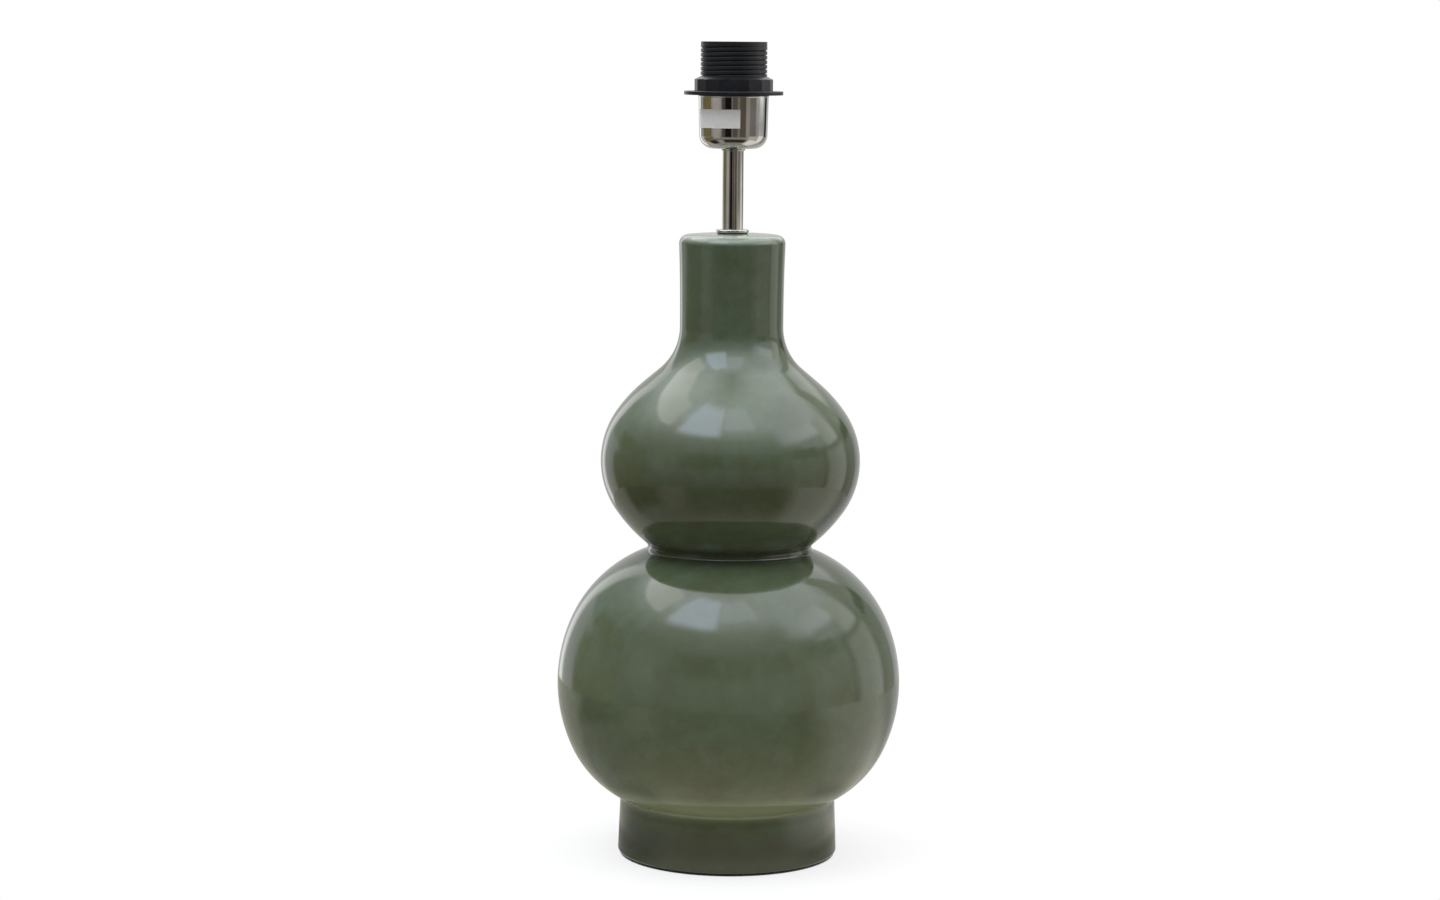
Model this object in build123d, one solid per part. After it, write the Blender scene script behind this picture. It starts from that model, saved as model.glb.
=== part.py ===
from build123d import *

import math
import os

# Table lamp base: a hollow double-gourd ceramic body with a screw lampholder on a short stem.
# Millimetres, +Z up. The origin is on the table, on the lamp's axis. The front is towards -Y.

# Gaps between pieces
SCREW_FIT = 0.05          # radial gap of a thread in its hole
SLIP_FIT = 0.2            # gap round a piece that slips into or over another
SEAT_GAP = 0.1            # gap between two flat faces that come to rest on each other
RING_FIT = 0.15           # radial gap of the shade ring over the crests of the barrel's thread

# Felt under the foot
FELT_THICKNESS = 1.5
FELT_INSET = 2.0          # from the foot's outer edge
FELT_WIDTH = 4.5

# Foot of the ceramic body
FOOT_RADIUS = 66.2
FOOT_TAPER = 1.3          # how much smaller the foot's radius is at its top
FOOT_HEIGHT = 33.7        # up to the crease under the lower gourd
FOOT_WALL = 7.5           # at the foot's top
FOOT_EDGE = 1.2
CREASE_FILLET = 2.5
FLOOR_THICKNESS = 8.0
FLOOR_HOLE_RADIUS = 23.0

# Gourds: a belly arc about the equator, and a shoulder arc tangent to it on each side
CERAMIC_WALL = 6.0
LOWER_RADIUS = 103.2
LOWER_BELLY_ARC = 93.0
LOWER_BELLY_ANGLE = 25.0
LOWER_FOOT_ARC = 64.3
LOWER_WAIST_ARC = 78.6
WAIST_RADIUS = 45.8       # where the two gourds' arcs would meet
WAIST_FILLET = 3.2
UPPER_RADIUS = 77.75
UPPER_BELLY_ARC = 52.1
UPPER_BELLY_ANGLE = 35.0
UPPER_WAIST_ARC = 97.1
UPPER_NECK_ARC = 81.4

# Neck of the ceramic body
NECK_RADIUS = 30.9
NECK_FILLET = 36.9
NECK_FLARE = 1.0          # how much wider the neck is at its rim
NECK_FLARE_HEIGHT = 48.0  # upper stretch that flares
NECK_HEIGHT = 76.2        # from the upper gourd's shoulder to the neck's rim
NECK_EDGE = 4.0
NECK_CROWN = 0.8          # rise of the neck's top from its rim to its middle
NECK_PLATE = 8.0          # thickness of the neck's closed top

# Rod that holds the lamp together
ROD_RADIUS = 5.0
ROD_WALL = 1.2
ROD_TAIL = 5.0            # thread showing below the nut

# Bush, washer and tube above the neck
BUSH_WALL = 1.95
BUSH_FLANGE_WIDTH = 1.8   # past the neck's hole
BUSH_FLANGE = 0.8
NECK_WASHER_LEDGE = 3.55  # past the stem
NECK_WASHER_THICKNESS = 2.0
NECK_WASHER_EDGE = 0.6
STEM_WALL = 1.1
STEM_LENGTH = 46.4

# Clamp under the ceramic floor
CUSHION_WIDTH = 11.0
CUSHION_INSET = 2.0       # from the plate's edge
CUSHION_THICKNESS = 2.0
PLATE_RADIUS = 38.0
PLATE_THICKNESS = 2.0
BASE_WASHER_WIDTH = 9.8
BASE_WASHER_THICKNESS = 1.6
LOCK_WASHER_WIDTH = 3.8
LOCK_WASHER_THICKNESS = 2.2
LOCK_WASHER_SPLIT = 1.2
NUT_WALL = 3.45           # from the thread to each flat
NUT_HEIGHT = 5.0
NUT_CHAMFER = 0.8
END_BUSH_WALL = 1.4
END_BUSH_GRIP = 3.5
END_BUSH_LIP = 1.6
END_BUSH_EDGE = 0.5

# Cable inlet at the rear of the foot
INLET_HEIGHT = 12.0       # above the table
GROMMET_BORE_RADIUS = 3.6
GROMMET_WALL = 1.2
GROMMET_FLANGE_WIDTH = 2.0
GROMMET_FLANGE = 1.6
GROMMET_EDGE = 0.4
GROMMET_LIP = 0.8         # how far the inner lip stands out past the hole
GROMMET_LIP_LENGTH = 1.6

# Screw shell for the bulb
SHELL_ROOT_RADIUS = 13.5
SHELL_THREAD_DEPTH = 1.1
SHELL_WALL = 1.0
SHELL_HEIGHT = 23.8
SHELL_PITCH = 3.629
SHELL_THREAD_START = 4.0  # above the shell's lower edge
SHELL_THREAD_HEIGHT = 17.0

# Thread ridges, as shares of the pitch and of the thread's depth
RIDGE_ROOT = 0.84
RIDGE_CREST = 0.2
RIDGE_SUNK = 0.3

# Black barrel with the thread for shade rings
BARREL_WALL = 4.1         # round the shell
BARREL_LOW_WALL = 2.3     # round the contact block
BARREL_THREAD_DEPTH = 0.9
BARREL_PITCH = 2.7
BARREL_PLAIN = 1.6        # plain stretch at each end of the thread
MOUTH_LIP = 0.5           # how far the mouth stands in over the shell
MOUTH_LENGTH = 9.8
MOUTH_CHAMFER = 0.8

# Lampholder cap, a drawn cup
CAP_RIM_WALL = 0.95
CAP_WALL = 0.8
CAP_TAPER = 0.8           # how much smaller the cap's radius is at its bottom
CAP_HEIGHT = 31.5
CAP_ROUNDING = 8.0
CAP_BEAD = 0.2            # rolled rim, how far it stands out
CAP_BEAD_HEIGHT = 1.2
CAP_LEDGE_WIDTH = 0.9

# Bush in the cap's bottom, with its grub screw
CAP_BUSH_NECK = 1.5       # wall of the bush in the cap's hole
CAP_BUSH_WALL = 3.45
CAP_BUSH_HEIGHT = 8.0
COLLAR_LEDGE = 0.5        # past the cap's hole
COLLAR_HEIGHT = 1.2
GRUB_RADIUS = 2.0
GRUB_LENGTH = 5.0
GRUB_SOCKET_RADIUS = 0.9
GRUB_SOCKET_DEPTH = 2.0

# Blank sticker on the cap
LABEL_THICKNESS = 0.12
LABEL_GLUE = 0.02
LABEL_BOTTOM = 12.3       # above the cap's bottom
LABEL_HEIGHT = 11.0
LABEL_START = -163.0      # degrees about the axis, the front is at -90
LABEL_SPAN = 84.0

# Contact block
WIRE_ROOM = 3.7           # from the cap's bush to the terminal screws
BLOCK_FOOT_GAP = 2.2      # from the cap's wall
BLOCK_FOOT_HEIGHT = 3.0
BLOCK_FLANGE = 2.5
BLOCK_HEAD_HEIGHT = 9.5
BLOCK_WELL_RADIUS = 6.4
BLOCK_WELL_DEPTH = 6.0

# Terminals: a brass block in a pocket, a strip through the contact block and a foot on its top
TERMINAL_INSET = 0.2      # from the shell's root radius
TERMINAL_LENGTH = 6.0
TERMINAL_WIDTH = 7.0
TERMINAL_HEIGHT = 6.6
STRIP_THICKNESS = 0.8
STRIP_WIDTH = 6.0
CENTRE_FOOT_LENGTH = 3.4
SIDE_FOOT_LENGTH = 2.6
WIRE_HOLE_RADIUS = 1.3
TERMINAL_SCREW_RADIUS = 1.5
TERMINAL_SCREW_LENGTH = 2.6
TERMINAL_HEAD_LEDGE = 1.1
TERMINAL_HEAD_HEIGHT = 1.8
SCREW_SLOT_WIDTH = 0.8
SCREW_SLOT_DEPTH = 0.9

# Sprung tongue that the bulb's tip presses
TONGUE_THICKNESS = 0.6
TONGUE_RISE = 3.2
TONGUE_PAD_LENGTH = 4.6

# Shade ring
RING_COLLAR_WALL = 3.4
RING_FLANGE_WIDTH = 6.15  # past the collar
RING_FLANGE = 2.3
RING_HEIGHT = 10.7
RING_SIDES = 16
RING_RIM = 0.4            # flat rim at the collar's top
RING_SLOPE_HEIGHT = 2.0
RING_EDGE = 0.5

# Radii that follow from the sizes above, from the bulb's shell outwards
SHELL_RADIUS = SHELL_ROOT_RADIUS + SHELL_WALL
SHELL_CREST_RADIUS = SHELL_ROOT_RADIUS - SHELL_THREAD_DEPTH
BARREL_BORE_RADIUS = SHELL_RADIUS + SLIP_FIT
BARREL_ROOT_RADIUS = BARREL_BORE_RADIUS + BARREL_WALL
BARREL_CREST_RADIUS = BARREL_ROOT_RADIUS + BARREL_THREAD_DEPTH
BARREL_LOW_RADIUS = BARREL_ROOT_RADIUS - BARREL_LOW_WALL
MOUTH_RADIUS = BARREL_BORE_RADIUS - MOUTH_LIP
CAP_BORE_RADIUS = BARREL_CREST_RADIUS + SLIP_FIT
CAP_LOW_BORE_RADIUS = CAP_BORE_RADIUS - CAP_LEDGE_WIDTH
CAP_RADIUS = CAP_BORE_RADIUS + CAP_RIM_WALL
BLOCK_HEAD_RADIUS = BARREL_LOW_RADIUS - SLIP_FIT
BLOCK_FLANGE_RADIUS = CAP_BORE_RADIUS - SLIP_FIT
BLOCK_FOOT_RADIUS = CAP_LOW_BORE_RADIUS - BLOCK_FOOT_GAP
TERMINAL_END = SHELL_ROOT_RADIUS - TERMINAL_INSET
TERMINAL_PLACE = TERMINAL_END - TERMINAL_LENGTH / 2
RING_BORE_RADIUS = BARREL_CREST_RADIUS + RING_FIT
RING_COLLAR_RADIUS = RING_BORE_RADIUS + RING_COLLAR_WALL
RING_FLANGE_RADIUS = RING_COLLAR_RADIUS + RING_FLANGE_WIDTH

# Radii that follow from the rod outwards
ROD_HOLE_RADIUS = ROD_RADIUS + SCREW_FIT
ROD_BORE_RADIUS = ROD_RADIUS - ROD_WALL
BUSH_RADIUS = ROD_HOLE_RADIUS + BUSH_WALL
NECK_HOLE_RADIUS = BUSH_RADIUS + SLIP_FIT
BUSH_FLANGE_RADIUS = NECK_HOLE_RADIUS + BUSH_FLANGE_WIDTH
STEM_BORE_RADIUS = ROD_RADIUS + SLIP_FIT
STEM_RADIUS = STEM_BORE_RADIUS + STEM_WALL
NECK_WASHER_RADIUS = STEM_RADIUS + NECK_WASHER_LEDGE
BUSH_NECK_RADIUS = ROD_HOLE_RADIUS + CAP_BUSH_NECK
CAP_HOLE_RADIUS = BUSH_NECK_RADIUS + SCREW_FIT
COLLAR_RADIUS = CAP_HOLE_RADIUS + COLLAR_LEDGE
CAP_BUSH_RADIUS = ROD_HOLE_RADIUS + CAP_BUSH_WALL

# Other radii of the ceramic body and of its inlet
FOOT_TOP_RADIUS = FOOT_RADIUS - FOOT_TAPER
FOOT_BORE_RADIUS = FOOT_TOP_RADIUS - FOOT_WALL
NECK_TOP_RADIUS = NECK_RADIUS + NECK_FLARE
INLET_HOLE_RADIUS = GROMMET_BORE_RADIUS + GROMMET_WALL + SLIP_FIT
GROMMET_FLANGE_RADIUS = INLET_HOLE_RADIUS + GROMMET_FLANGE_WIDTH


def half_height(belly_radius, belly_arc, shoulder_arc, angle, end_radius):
    """Height from a gourd's equator to where its shoulder arc reaches the end radius."""
    blend = math.radians(angle)
    shoulder_r = belly_radius - belly_arc + (belly_arc - shoulder_arc) * math.cos(blend)
    reach = math.acos((end_radius - shoulder_r) / shoulder_arc)
    return (belly_arc - shoulder_arc) * math.sin(blend) + shoulder_arc * math.sin(reach)


# Heights that follow from the sizes above
FOOT_Z = FELT_THICKNESS
CREASE_Z = FOOT_Z + FOOT_HEIGHT
LOWER_FOOT_SIDE = (LOWER_RADIUS, LOWER_BELLY_ARC, LOWER_FOOT_ARC, LOWER_BELLY_ANGLE)
LOWER_WAIST_SIDE = (LOWER_RADIUS, LOWER_BELLY_ARC, LOWER_WAIST_ARC, LOWER_BELLY_ANGLE)
UPPER_WAIST_SIDE = (UPPER_RADIUS, UPPER_BELLY_ARC, UPPER_WAIST_ARC, UPPER_BELLY_ANGLE)
UPPER_NECK_SIDE = (UPPER_RADIUS, UPPER_BELLY_ARC, UPPER_NECK_ARC, UPPER_BELLY_ANGLE)
LOWER_Z = CREASE_Z + half_height(*LOWER_FOOT_SIDE, FOOT_TOP_RADIUS)
WAIST_Z = LOWER_Z + half_height(*LOWER_WAIST_SIDE, WAIST_RADIUS)
UPPER_Z = WAIST_Z + half_height(*UPPER_WAIST_SIDE, WAIST_RADIUS)
SHOULDER_Z = UPPER_Z + half_height(*UPPER_NECK_SIDE, NECK_RADIUS)
NECK_RIM_Z = SHOULDER_Z + NECK_HEIGHT
NECK_TOP_Z = NECK_RIM_Z + NECK_CROWN
NECK_WASHER_Z = NECK_TOP_Z + BUSH_FLANGE
STEM_Z = NECK_WASHER_Z + NECK_WASHER_THICKNESS
COLLAR_Z = STEM_Z + STEM_LENGTH
CAP_Z = COLLAR_Z + COLLAR_HEIGHT
CAP_RIM_Z = CAP_Z + CAP_HEIGHT
CAP_FLOOR_Z = CAP_Z + CAP_WALL
ROD_TOP_Z = CAP_FLOOR_Z + CAP_BUSH_HEIGHT
BLOCK_Z = ROD_TOP_Z + WIRE_ROOM + TERMINAL_HEAD_HEIGHT
LEDGE_Z = BLOCK_Z + BLOCK_FOOT_HEIGHT
SKIRT_Z = LEDGE_Z + BLOCK_FLANGE
BLOCK_TOP_Z = SKIRT_Z + BLOCK_HEAD_HEIGHT
SHELL_TOP_Z = BLOCK_TOP_Z + SHELL_HEIGHT
LIP_Z = SHELL_TOP_Z + SEAT_GAP
MOUTH_Z = LIP_Z + MOUTH_LENGTH
RING_Z = CAP_RIM_Z + SEAT_GAP

# The ceramic floor's top is where the inside of the lower gourd comes down to the foot's inner radius
INNER_FOOT_RADIUS = FOOT_TOP_RADIUS - CERAMIC_WALL
INNER_FOOT_SIDE = (
    LOWER_RADIUS - CERAMIC_WALL,
    LOWER_BELLY_ARC - CERAMIC_WALL,
    LOWER_FOOT_ARC - CERAMIC_WALL,
    LOWER_BELLY_ANGLE,
)
FLOOR_TOP_Z = LOWER_Z - half_height(*INNER_FOOT_SIDE, INNER_FOOT_RADIUS)
FLOOR_Z = FLOOR_TOP_Z - FLOOR_THICKNESS
PLATE_TOP_Z = FLOOR_Z - CUSHION_THICKNESS
PLATE_Z = PLATE_TOP_Z - PLATE_THICKNESS
BASE_WASHER_Z = PLATE_Z - BASE_WASHER_THICKNESS
LOCK_WASHER_Z = BASE_WASHER_Z - LOCK_WASHER_THICKNESS
NUT_Z = LOCK_WASHER_Z - NUT_HEIGHT
ROD_Z = NUT_Z - ROD_TAIL


def turned(outline):
    """Solid of revolution about Z from a closed outline of (radius, height) points."""
    face = make_face(Polyline(*outline, close=True))
    return revolve(Plane.XZ * face, Axis.Z)


def ring(outer, inner, bottom, height):
    """Plain flat ring on the lamp's axis."""
    return turned([(inner, bottom), (outer, bottom), (outer, bottom + height), (inner, bottom + height)])


def rounded_corner(face, point, radius):
    """The face with its corner nearest to the point rounded."""
    return fillet(face.vertices().sort_by_distance(point)[0], radius)


def gourd_arcs(side, equator_z, end_radius, wall=0.0, direction=1):
    """Belly and shoulder arcs from a gourd's equator to an end radius, and the end's height."""
    belly_radius, belly_arc, shoulder_arc, angle = side
    belly_radius -= wall
    belly_arc -= wall
    shoulder_arc -= wall
    blend = math.radians(angle)
    belly_r = belly_radius - belly_arc
    shoulder_r = belly_r + (belly_arc - shoulder_arc) * math.cos(blend)
    shoulder_z = equator_z + direction * (belly_arc - shoulder_arc) * math.sin(blend)
    reach = math.degrees(math.acos((end_radius - shoulder_r) / shoulder_arc))
    belly = CenterArc((belly_r, equator_z), belly_arc, 0, direction * angle)
    turn = direction * (reach - angle)
    shoulder = CenterArc((shoulder_r, shoulder_z), shoulder_arc, direction * angle, turn)
    end_z = shoulder_z + direction * shoulder_arc * math.sin(math.radians(reach))
    return [belly, shoulder], end_z


def ceramic_outside():
    """Outer outline of the ceramic body from the foot's bottom to the neck's hole."""
    foot_side, _ = gourd_arcs(LOWER_FOOT_SIDE, LOWER_Z, FOOT_TOP_RADIUS, direction=-1)
    lower_side, _ = gourd_arcs(LOWER_WAIST_SIDE, LOWER_Z, WAIST_RADIUS)
    waist_side, _ = gourd_arcs(UPPER_WAIST_SIDE, UPPER_Z, WAIST_RADIUS, direction=-1)
    neck_side, _ = gourd_arcs(UPPER_NECK_SIDE, UPPER_Z, NECK_RADIUS)
    flare_z = NECK_RIM_Z - NECK_FLARE_HEIGHT
    foot = Line((FOOT_RADIUS, FOOT_Z), (FOOT_TOP_RADIUS, CREASE_Z))
    neck = Line((NECK_RADIUS, SHOULDER_Z), (NECK_RADIUS, flare_z))
    flare = TangentArc((NECK_RADIUS, flare_z), (NECK_TOP_RADIUS, NECK_RIM_Z), tangent=(0, 1))
    crown = TangentArc((NECK_WASHER_RADIUS, NECK_TOP_Z), (NECK_TOP_RADIUS, NECK_RIM_Z), tangent=(1, 0))
    seat = Line((NECK_HOLE_RADIUS, NECK_TOP_Z), (NECK_WASHER_RADIUS, NECK_TOP_Z))
    return [foot, *foot_side, *lower_side, *waist_side, *neck_side, neck, flare, crown, seat]


def ceramic_inside():
    """Inner outline of the ceramic body from the neck's hole to the foot's bottom."""
    inner_waist = WAIST_RADIUS - CERAMIC_WALL
    inner_neck = NECK_RADIUS - CERAMIC_WALL
    plate_z = NECK_TOP_Z - NECK_PLATE
    neck_side, shoulder_z = gourd_arcs(UPPER_NECK_SIDE, UPPER_Z, inner_neck, CERAMIC_WALL)
    waist_side, waist_top = gourd_arcs(UPPER_WAIST_SIDE, UPPER_Z, inner_waist, CERAMIC_WALL, -1)
    lower_side, waist_low = gourd_arcs(LOWER_WAIST_SIDE, LOWER_Z, inner_waist, CERAMIC_WALL)
    foot_side, _ = gourd_arcs(LOWER_FOOT_SIDE, LOWER_Z, INNER_FOOT_RADIUS, CERAMIC_WALL, -1)
    hole = Line((NECK_HOLE_RADIUS, plate_z), (NECK_HOLE_RADIUS, NECK_TOP_Z))
    neck = Polyline((NECK_HOLE_RADIUS, plate_z), (inner_neck, plate_z), (inner_neck, shoulder_z))
    waist = Line((inner_waist, waist_top), (inner_waist, waist_low))
    floor = Polyline(
        (INNER_FOOT_RADIUS, FLOOR_TOP_Z),
        (FLOOR_HOLE_RADIUS, FLOOR_TOP_Z),
        (FLOOR_HOLE_RADIUS, FLOOR_Z),
        (FOOT_BORE_RADIUS, FLOOR_Z),
        (FOOT_BORE_RADIUS, FOOT_Z),
        (FOOT_RADIUS, FOOT_Z),
    )
    return [hole, neck, *neck_side, *waist_side, waist, *lower_side, *foot_side, floor]


def inlet_cylinder(radius, start, end):
    """Cylinder on the cable inlet's axis, from start to end along Y."""
    cylinder = Cylinder(radius, end - start, align=(Align.CENTER, Align.CENTER, Align.MIN))
    return Pos(0, start, INLET_HEIGHT) * Rot(-90, 0, 0) * cylinder


def ceramic_body():
    """Hollow double-gourd casting with a foot ring, a floor, a neck and the cable inlet's hole."""
    edges = [edge for line in ceramic_outside() + ceramic_inside() for edge in line.edges()]
    face = make_face(edges)
    face = rounded_corner(face, (FOOT_RADIUS, FOOT_Z), FOOT_EDGE)
    face = rounded_corner(face, (FOOT_TOP_RADIUS, CREASE_Z), CREASE_FILLET)
    face = rounded_corner(face, (WAIST_RADIUS, WAIST_Z), WAIST_FILLET)
    face = rounded_corner(face, (NECK_RADIUS, SHOULDER_Z), NECK_FILLET)
    face = rounded_corner(face, (NECK_TOP_RADIUS, NECK_RIM_Z), NECK_EDGE)
    body = revolve(Plane.XZ * face, Axis.Z)
    return body - inlet_cylinder(INLET_HOLE_RADIUS, FOOT_BORE_RADIUS - FOOT_WALL, FOOT_RADIUS + FOOT_WALL)


def felt_ring():
    """Felt glued under the foot's rim."""
    outer = FOOT_RADIUS - FELT_INSET
    return ring(outer, outer - FELT_WIDTH, 0, FELT_THICKNESS)


def cable_grommet():
    """Grommet with a flange outside the foot and a lip inside it."""
    flange_low = INLET_HEIGHT - GROMMET_FLANGE_RADIUS - FOOT_Z
    outside = FOOT_RADIUS - FOOT_TAPER * flange_low / FOOT_HEIGHT + SEAT_GAP
    lip_radius = INLET_HOLE_RADIUS + GROMMET_LIP
    inside = math.sqrt(FOOT_BORE_RADIUS**2 - lip_radius**2) - SEAT_GAP
    end = inside - GROMMET_LIP_LENGTH
    body = inlet_cylinder(INLET_HOLE_RADIUS - SLIP_FIT, end, outside)
    flange = inlet_cylinder(GROMMET_FLANGE_RADIUS, outside, outside + GROMMET_FLANGE)
    lip = inlet_cylinder(lip_radius, end, inside)
    bore = inlet_cylinder(GROMMET_BORE_RADIUS, end - FOOT_WALL, outside + FOOT_WALL)
    grommet = body + flange + lip - bore
    rims = grommet.edges().filter_by(GeomType.CIRCLE).group_by(Axis.Y)[-1]
    return fillet(rims, GROMMET_EDGE)


def base_cushion():
    """Soft ring between the ceramic floor and the base plate."""
    outer = PLATE_RADIUS - CUSHION_INSET
    return ring(outer, outer - CUSHION_WIDTH, PLATE_TOP_Z, CUSHION_THICKNESS)


def base_plate():
    """Steel disc that the nut pulls up against the ceramic floor."""
    return ring(PLATE_RADIUS, STEM_BORE_RADIUS, PLATE_Z, PLATE_THICKNESS)


def base_washer():
    """Flat washer under the base plate."""
    outer = STEM_BORE_RADIUS + BASE_WASHER_WIDTH
    return ring(outer, STEM_BORE_RADIUS, BASE_WASHER_Z, BASE_WASHER_THICKNESS)


def base_lock_washer():
    """Split spring washer."""
    outer = STEM_BORE_RADIUS + LOCK_WASHER_WIDTH
    washer = ring(outer, STEM_BORE_RADIUS, LOCK_WASHER_Z, LOCK_WASHER_THICKNESS)
    return washer - upright_box(outer, LOCK_WASHER_SPLIT, LOCK_WASHER_THICKNESS, outer, LOCK_WASHER_Z)


def base_nut():
    """Hexagon nut with turned-down corners."""
    flat = ROD_HOLE_RADIUS + NUT_WALL
    corner = 2 * flat / math.sqrt(3)
    prism = Pos(0, 0, NUT_Z) * extrude(RegularPolygon(corner, 6), NUT_HEIGHT)
    blank = turned([
        (ROD_HOLE_RADIUS, NUT_Z),
        (corner - NUT_CHAMFER, NUT_Z),
        (corner, NUT_Z + NUT_CHAMFER / 2),
        (corner, NUT_Z + NUT_HEIGHT - NUT_CHAMFER / 2),
        (corner - NUT_CHAMFER, NUT_Z + NUT_HEIGHT),
        (ROD_HOLE_RADIUS, NUT_Z + NUT_HEIGHT),
    ])
    return prism & blank


def rod_end_bush():
    """Plastic cap over the rod's lower end, with a smooth hole for the flex."""
    outer = ROD_HOLE_RADIUS + END_BUSH_WALL
    bottom = ROD_Z - END_BUSH_LIP
    bush = turned([
        (ROD_BORE_RADIUS, bottom),
        (outer, bottom),
        (outer, ROD_Z + END_BUSH_GRIP),
        (ROD_HOLE_RADIUS, ROD_Z + END_BUSH_GRIP),
        (ROD_HOLE_RADIUS, ROD_Z),
        (ROD_BORE_RADIUS, ROD_Z),
    ])
    rims = bush.edges().filter_by(GeomType.CIRCLE).group_by(Axis.Z)[0]
    return fillet(rims, END_BUSH_EDGE)


def threaded_rod():
    """Hollow rod from the foot up into the lampholder's bush."""
    return ring(ROD_RADIUS, ROD_BORE_RADIUS, ROD_Z, ROD_TOP_Z - ROD_Z)


def neck_bush():
    """Plastic bush that centres the rod in the neck's hole, with a flange on the ceramic."""
    bottom = NECK_TOP_Z - NECK_PLATE
    return turned([
        (ROD_HOLE_RADIUS, bottom),
        (BUSH_RADIUS, bottom),
        (BUSH_RADIUS, NECK_TOP_Z),
        (BUSH_FLANGE_RADIUS, NECK_TOP_Z),
        (BUSH_FLANGE_RADIUS, NECK_WASHER_Z),
        (ROD_HOLE_RADIUS, NECK_WASHER_Z),
    ])


def neck_washer():
    """Chrome washer with rounded rims."""
    washer = ring(NECK_WASHER_RADIUS, STEM_BORE_RADIUS, NECK_WASHER_Z, NECK_WASHER_THICKNESS)
    rims = washer.edges().filter_by(GeomType.CIRCLE).group_by(SortBy.RADIUS)[-1]
    return fillet(rims, NECK_WASHER_EDGE)


def stem_tube():
    """Chrome tube between the washer and the lampholder."""
    return ring(STEM_RADIUS, STEM_BORE_RADIUS, STEM_Z, STEM_LENGTH)


def cap_radius_at(height):
    """Outer radius of the cap's tapered side at a height above its bottom."""
    side = CAP_HEIGHT - CAP_BEAD_HEIGHT
    return CAP_RADIUS - CAP_TAPER * (1 - height / side)


def lampholder_cap():
    """Drawn cup with a rounded bottom, a rolled rim and an inner ledge."""
    low_radius = cap_radius_at(0)
    bead_z = CAP_RIM_Z - CAP_BEAD_HEIGHT
    bead_middle = (CAP_RADIUS + CAP_BEAD, CAP_RIM_Z - CAP_BEAD_HEIGHT / 2)
    side = Polyline((CAP_HOLE_RADIUS, CAP_Z), (low_radius, CAP_Z), (CAP_RADIUS, bead_z))
    bead = ThreePointArc((CAP_RADIUS, bead_z), bead_middle, (CAP_RADIUS, CAP_RIM_Z))
    inside = Polyline(
        (CAP_RADIUS, CAP_RIM_Z),
        (CAP_BORE_RADIUS, CAP_RIM_Z),
        (CAP_BORE_RADIUS, LEDGE_Z),
        (CAP_LOW_BORE_RADIUS, LEDGE_Z),
        (CAP_LOW_BORE_RADIUS, CAP_FLOOR_Z),
        (CAP_HOLE_RADIUS, CAP_FLOOR_Z),
        (CAP_HOLE_RADIUS, CAP_Z),
    )
    face = make_face(side.edges() + bead.edges() + inside.edges())
    face = rounded_corner(face, (low_radius, CAP_Z), CAP_ROUNDING)
    face = rounded_corner(face, (CAP_LOW_BORE_RADIUS, CAP_FLOOR_Z), CAP_ROUNDING - CAP_WALL)
    return revolve(Plane.XZ * face, Axis.Z)


def cap_bush():
    """Turned bush riveted into the cap's bottom, screwed on the rod."""
    bush = turned([
        (ROD_HOLE_RADIUS, COLLAR_Z),
        (COLLAR_RADIUS, COLLAR_Z),
        (COLLAR_RADIUS, CAP_Z),
        (BUSH_NECK_RADIUS, CAP_Z),
        (BUSH_NECK_RADIUS, CAP_FLOOR_Z),
        (CAP_BUSH_RADIUS, CAP_FLOOR_Z),
        (CAP_BUSH_RADIUS, ROD_TOP_Z),
        (ROD_HOLE_RADIUS, ROD_TOP_Z),
    ])
    return bush - grub_cylinder(GRUB_RADIUS + SCREW_FIT, 0, CAP_BUSH_RADIUS + GRUB_LENGTH)


def grub_cylinder(radius, start, end):
    """Cylinder on the grub screw's axis, from start to end along X."""
    height = CAP_FLOOR_Z + CAP_BUSH_HEIGHT / 2
    cylinder = Cylinder(radius, end - start, align=(Align.CENTER, Align.CENTER, Align.MIN))
    return Pos(start, 0, height) * Rot(0, 90, 0) * cylinder


def cap_grub_screw():
    """Grub screw that locks the bush on the rod."""
    tip = ROD_HOLE_RADIUS
    head = tip + GRUB_LENGTH
    screw = grub_cylinder(GRUB_RADIUS, tip, head)
    return screw - grub_cylinder(GRUB_SOCKET_RADIUS, head - GRUB_SOCKET_DEPTH, head + GRUB_LENGTH)


def blank_label():
    """Thin sticker round part of the cap's side, with nothing on it."""
    low_r = cap_radius_at(LABEL_BOTTOM) + LABEL_GLUE
    high_r = cap_radius_at(LABEL_BOTTOM + LABEL_HEIGHT) + LABEL_GLUE
    low_z = CAP_Z + LABEL_BOTTOM
    high_z = low_z + LABEL_HEIGHT
    face = make_face(Polyline(
        (low_r, low_z),
        (low_r + LABEL_THICKNESS, low_z),
        (high_r + LABEL_THICKNESS, high_z),
        (high_r, high_z),
        close=True,
    ))
    patch = revolve(Plane.XZ * face, Axis.Z, revolution_arc=LABEL_SPAN)
    return Rot(0, 0, LABEL_START) * patch


def upright_box(length, width, height, x, bottom):
    """Box centred on Y, centred at x, standing on a height."""
    block = Box(length, width, height, align=(Align.CENTER, Align.CENTER, Align.MIN))
    return Pos(x, 0, bottom) * block


def strip_place(side):
    """Middle of a terminal's strip along X; side is -1 or 1."""
    return side * (TERMINAL_END - STRIP_THICKNESS / 2)


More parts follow.
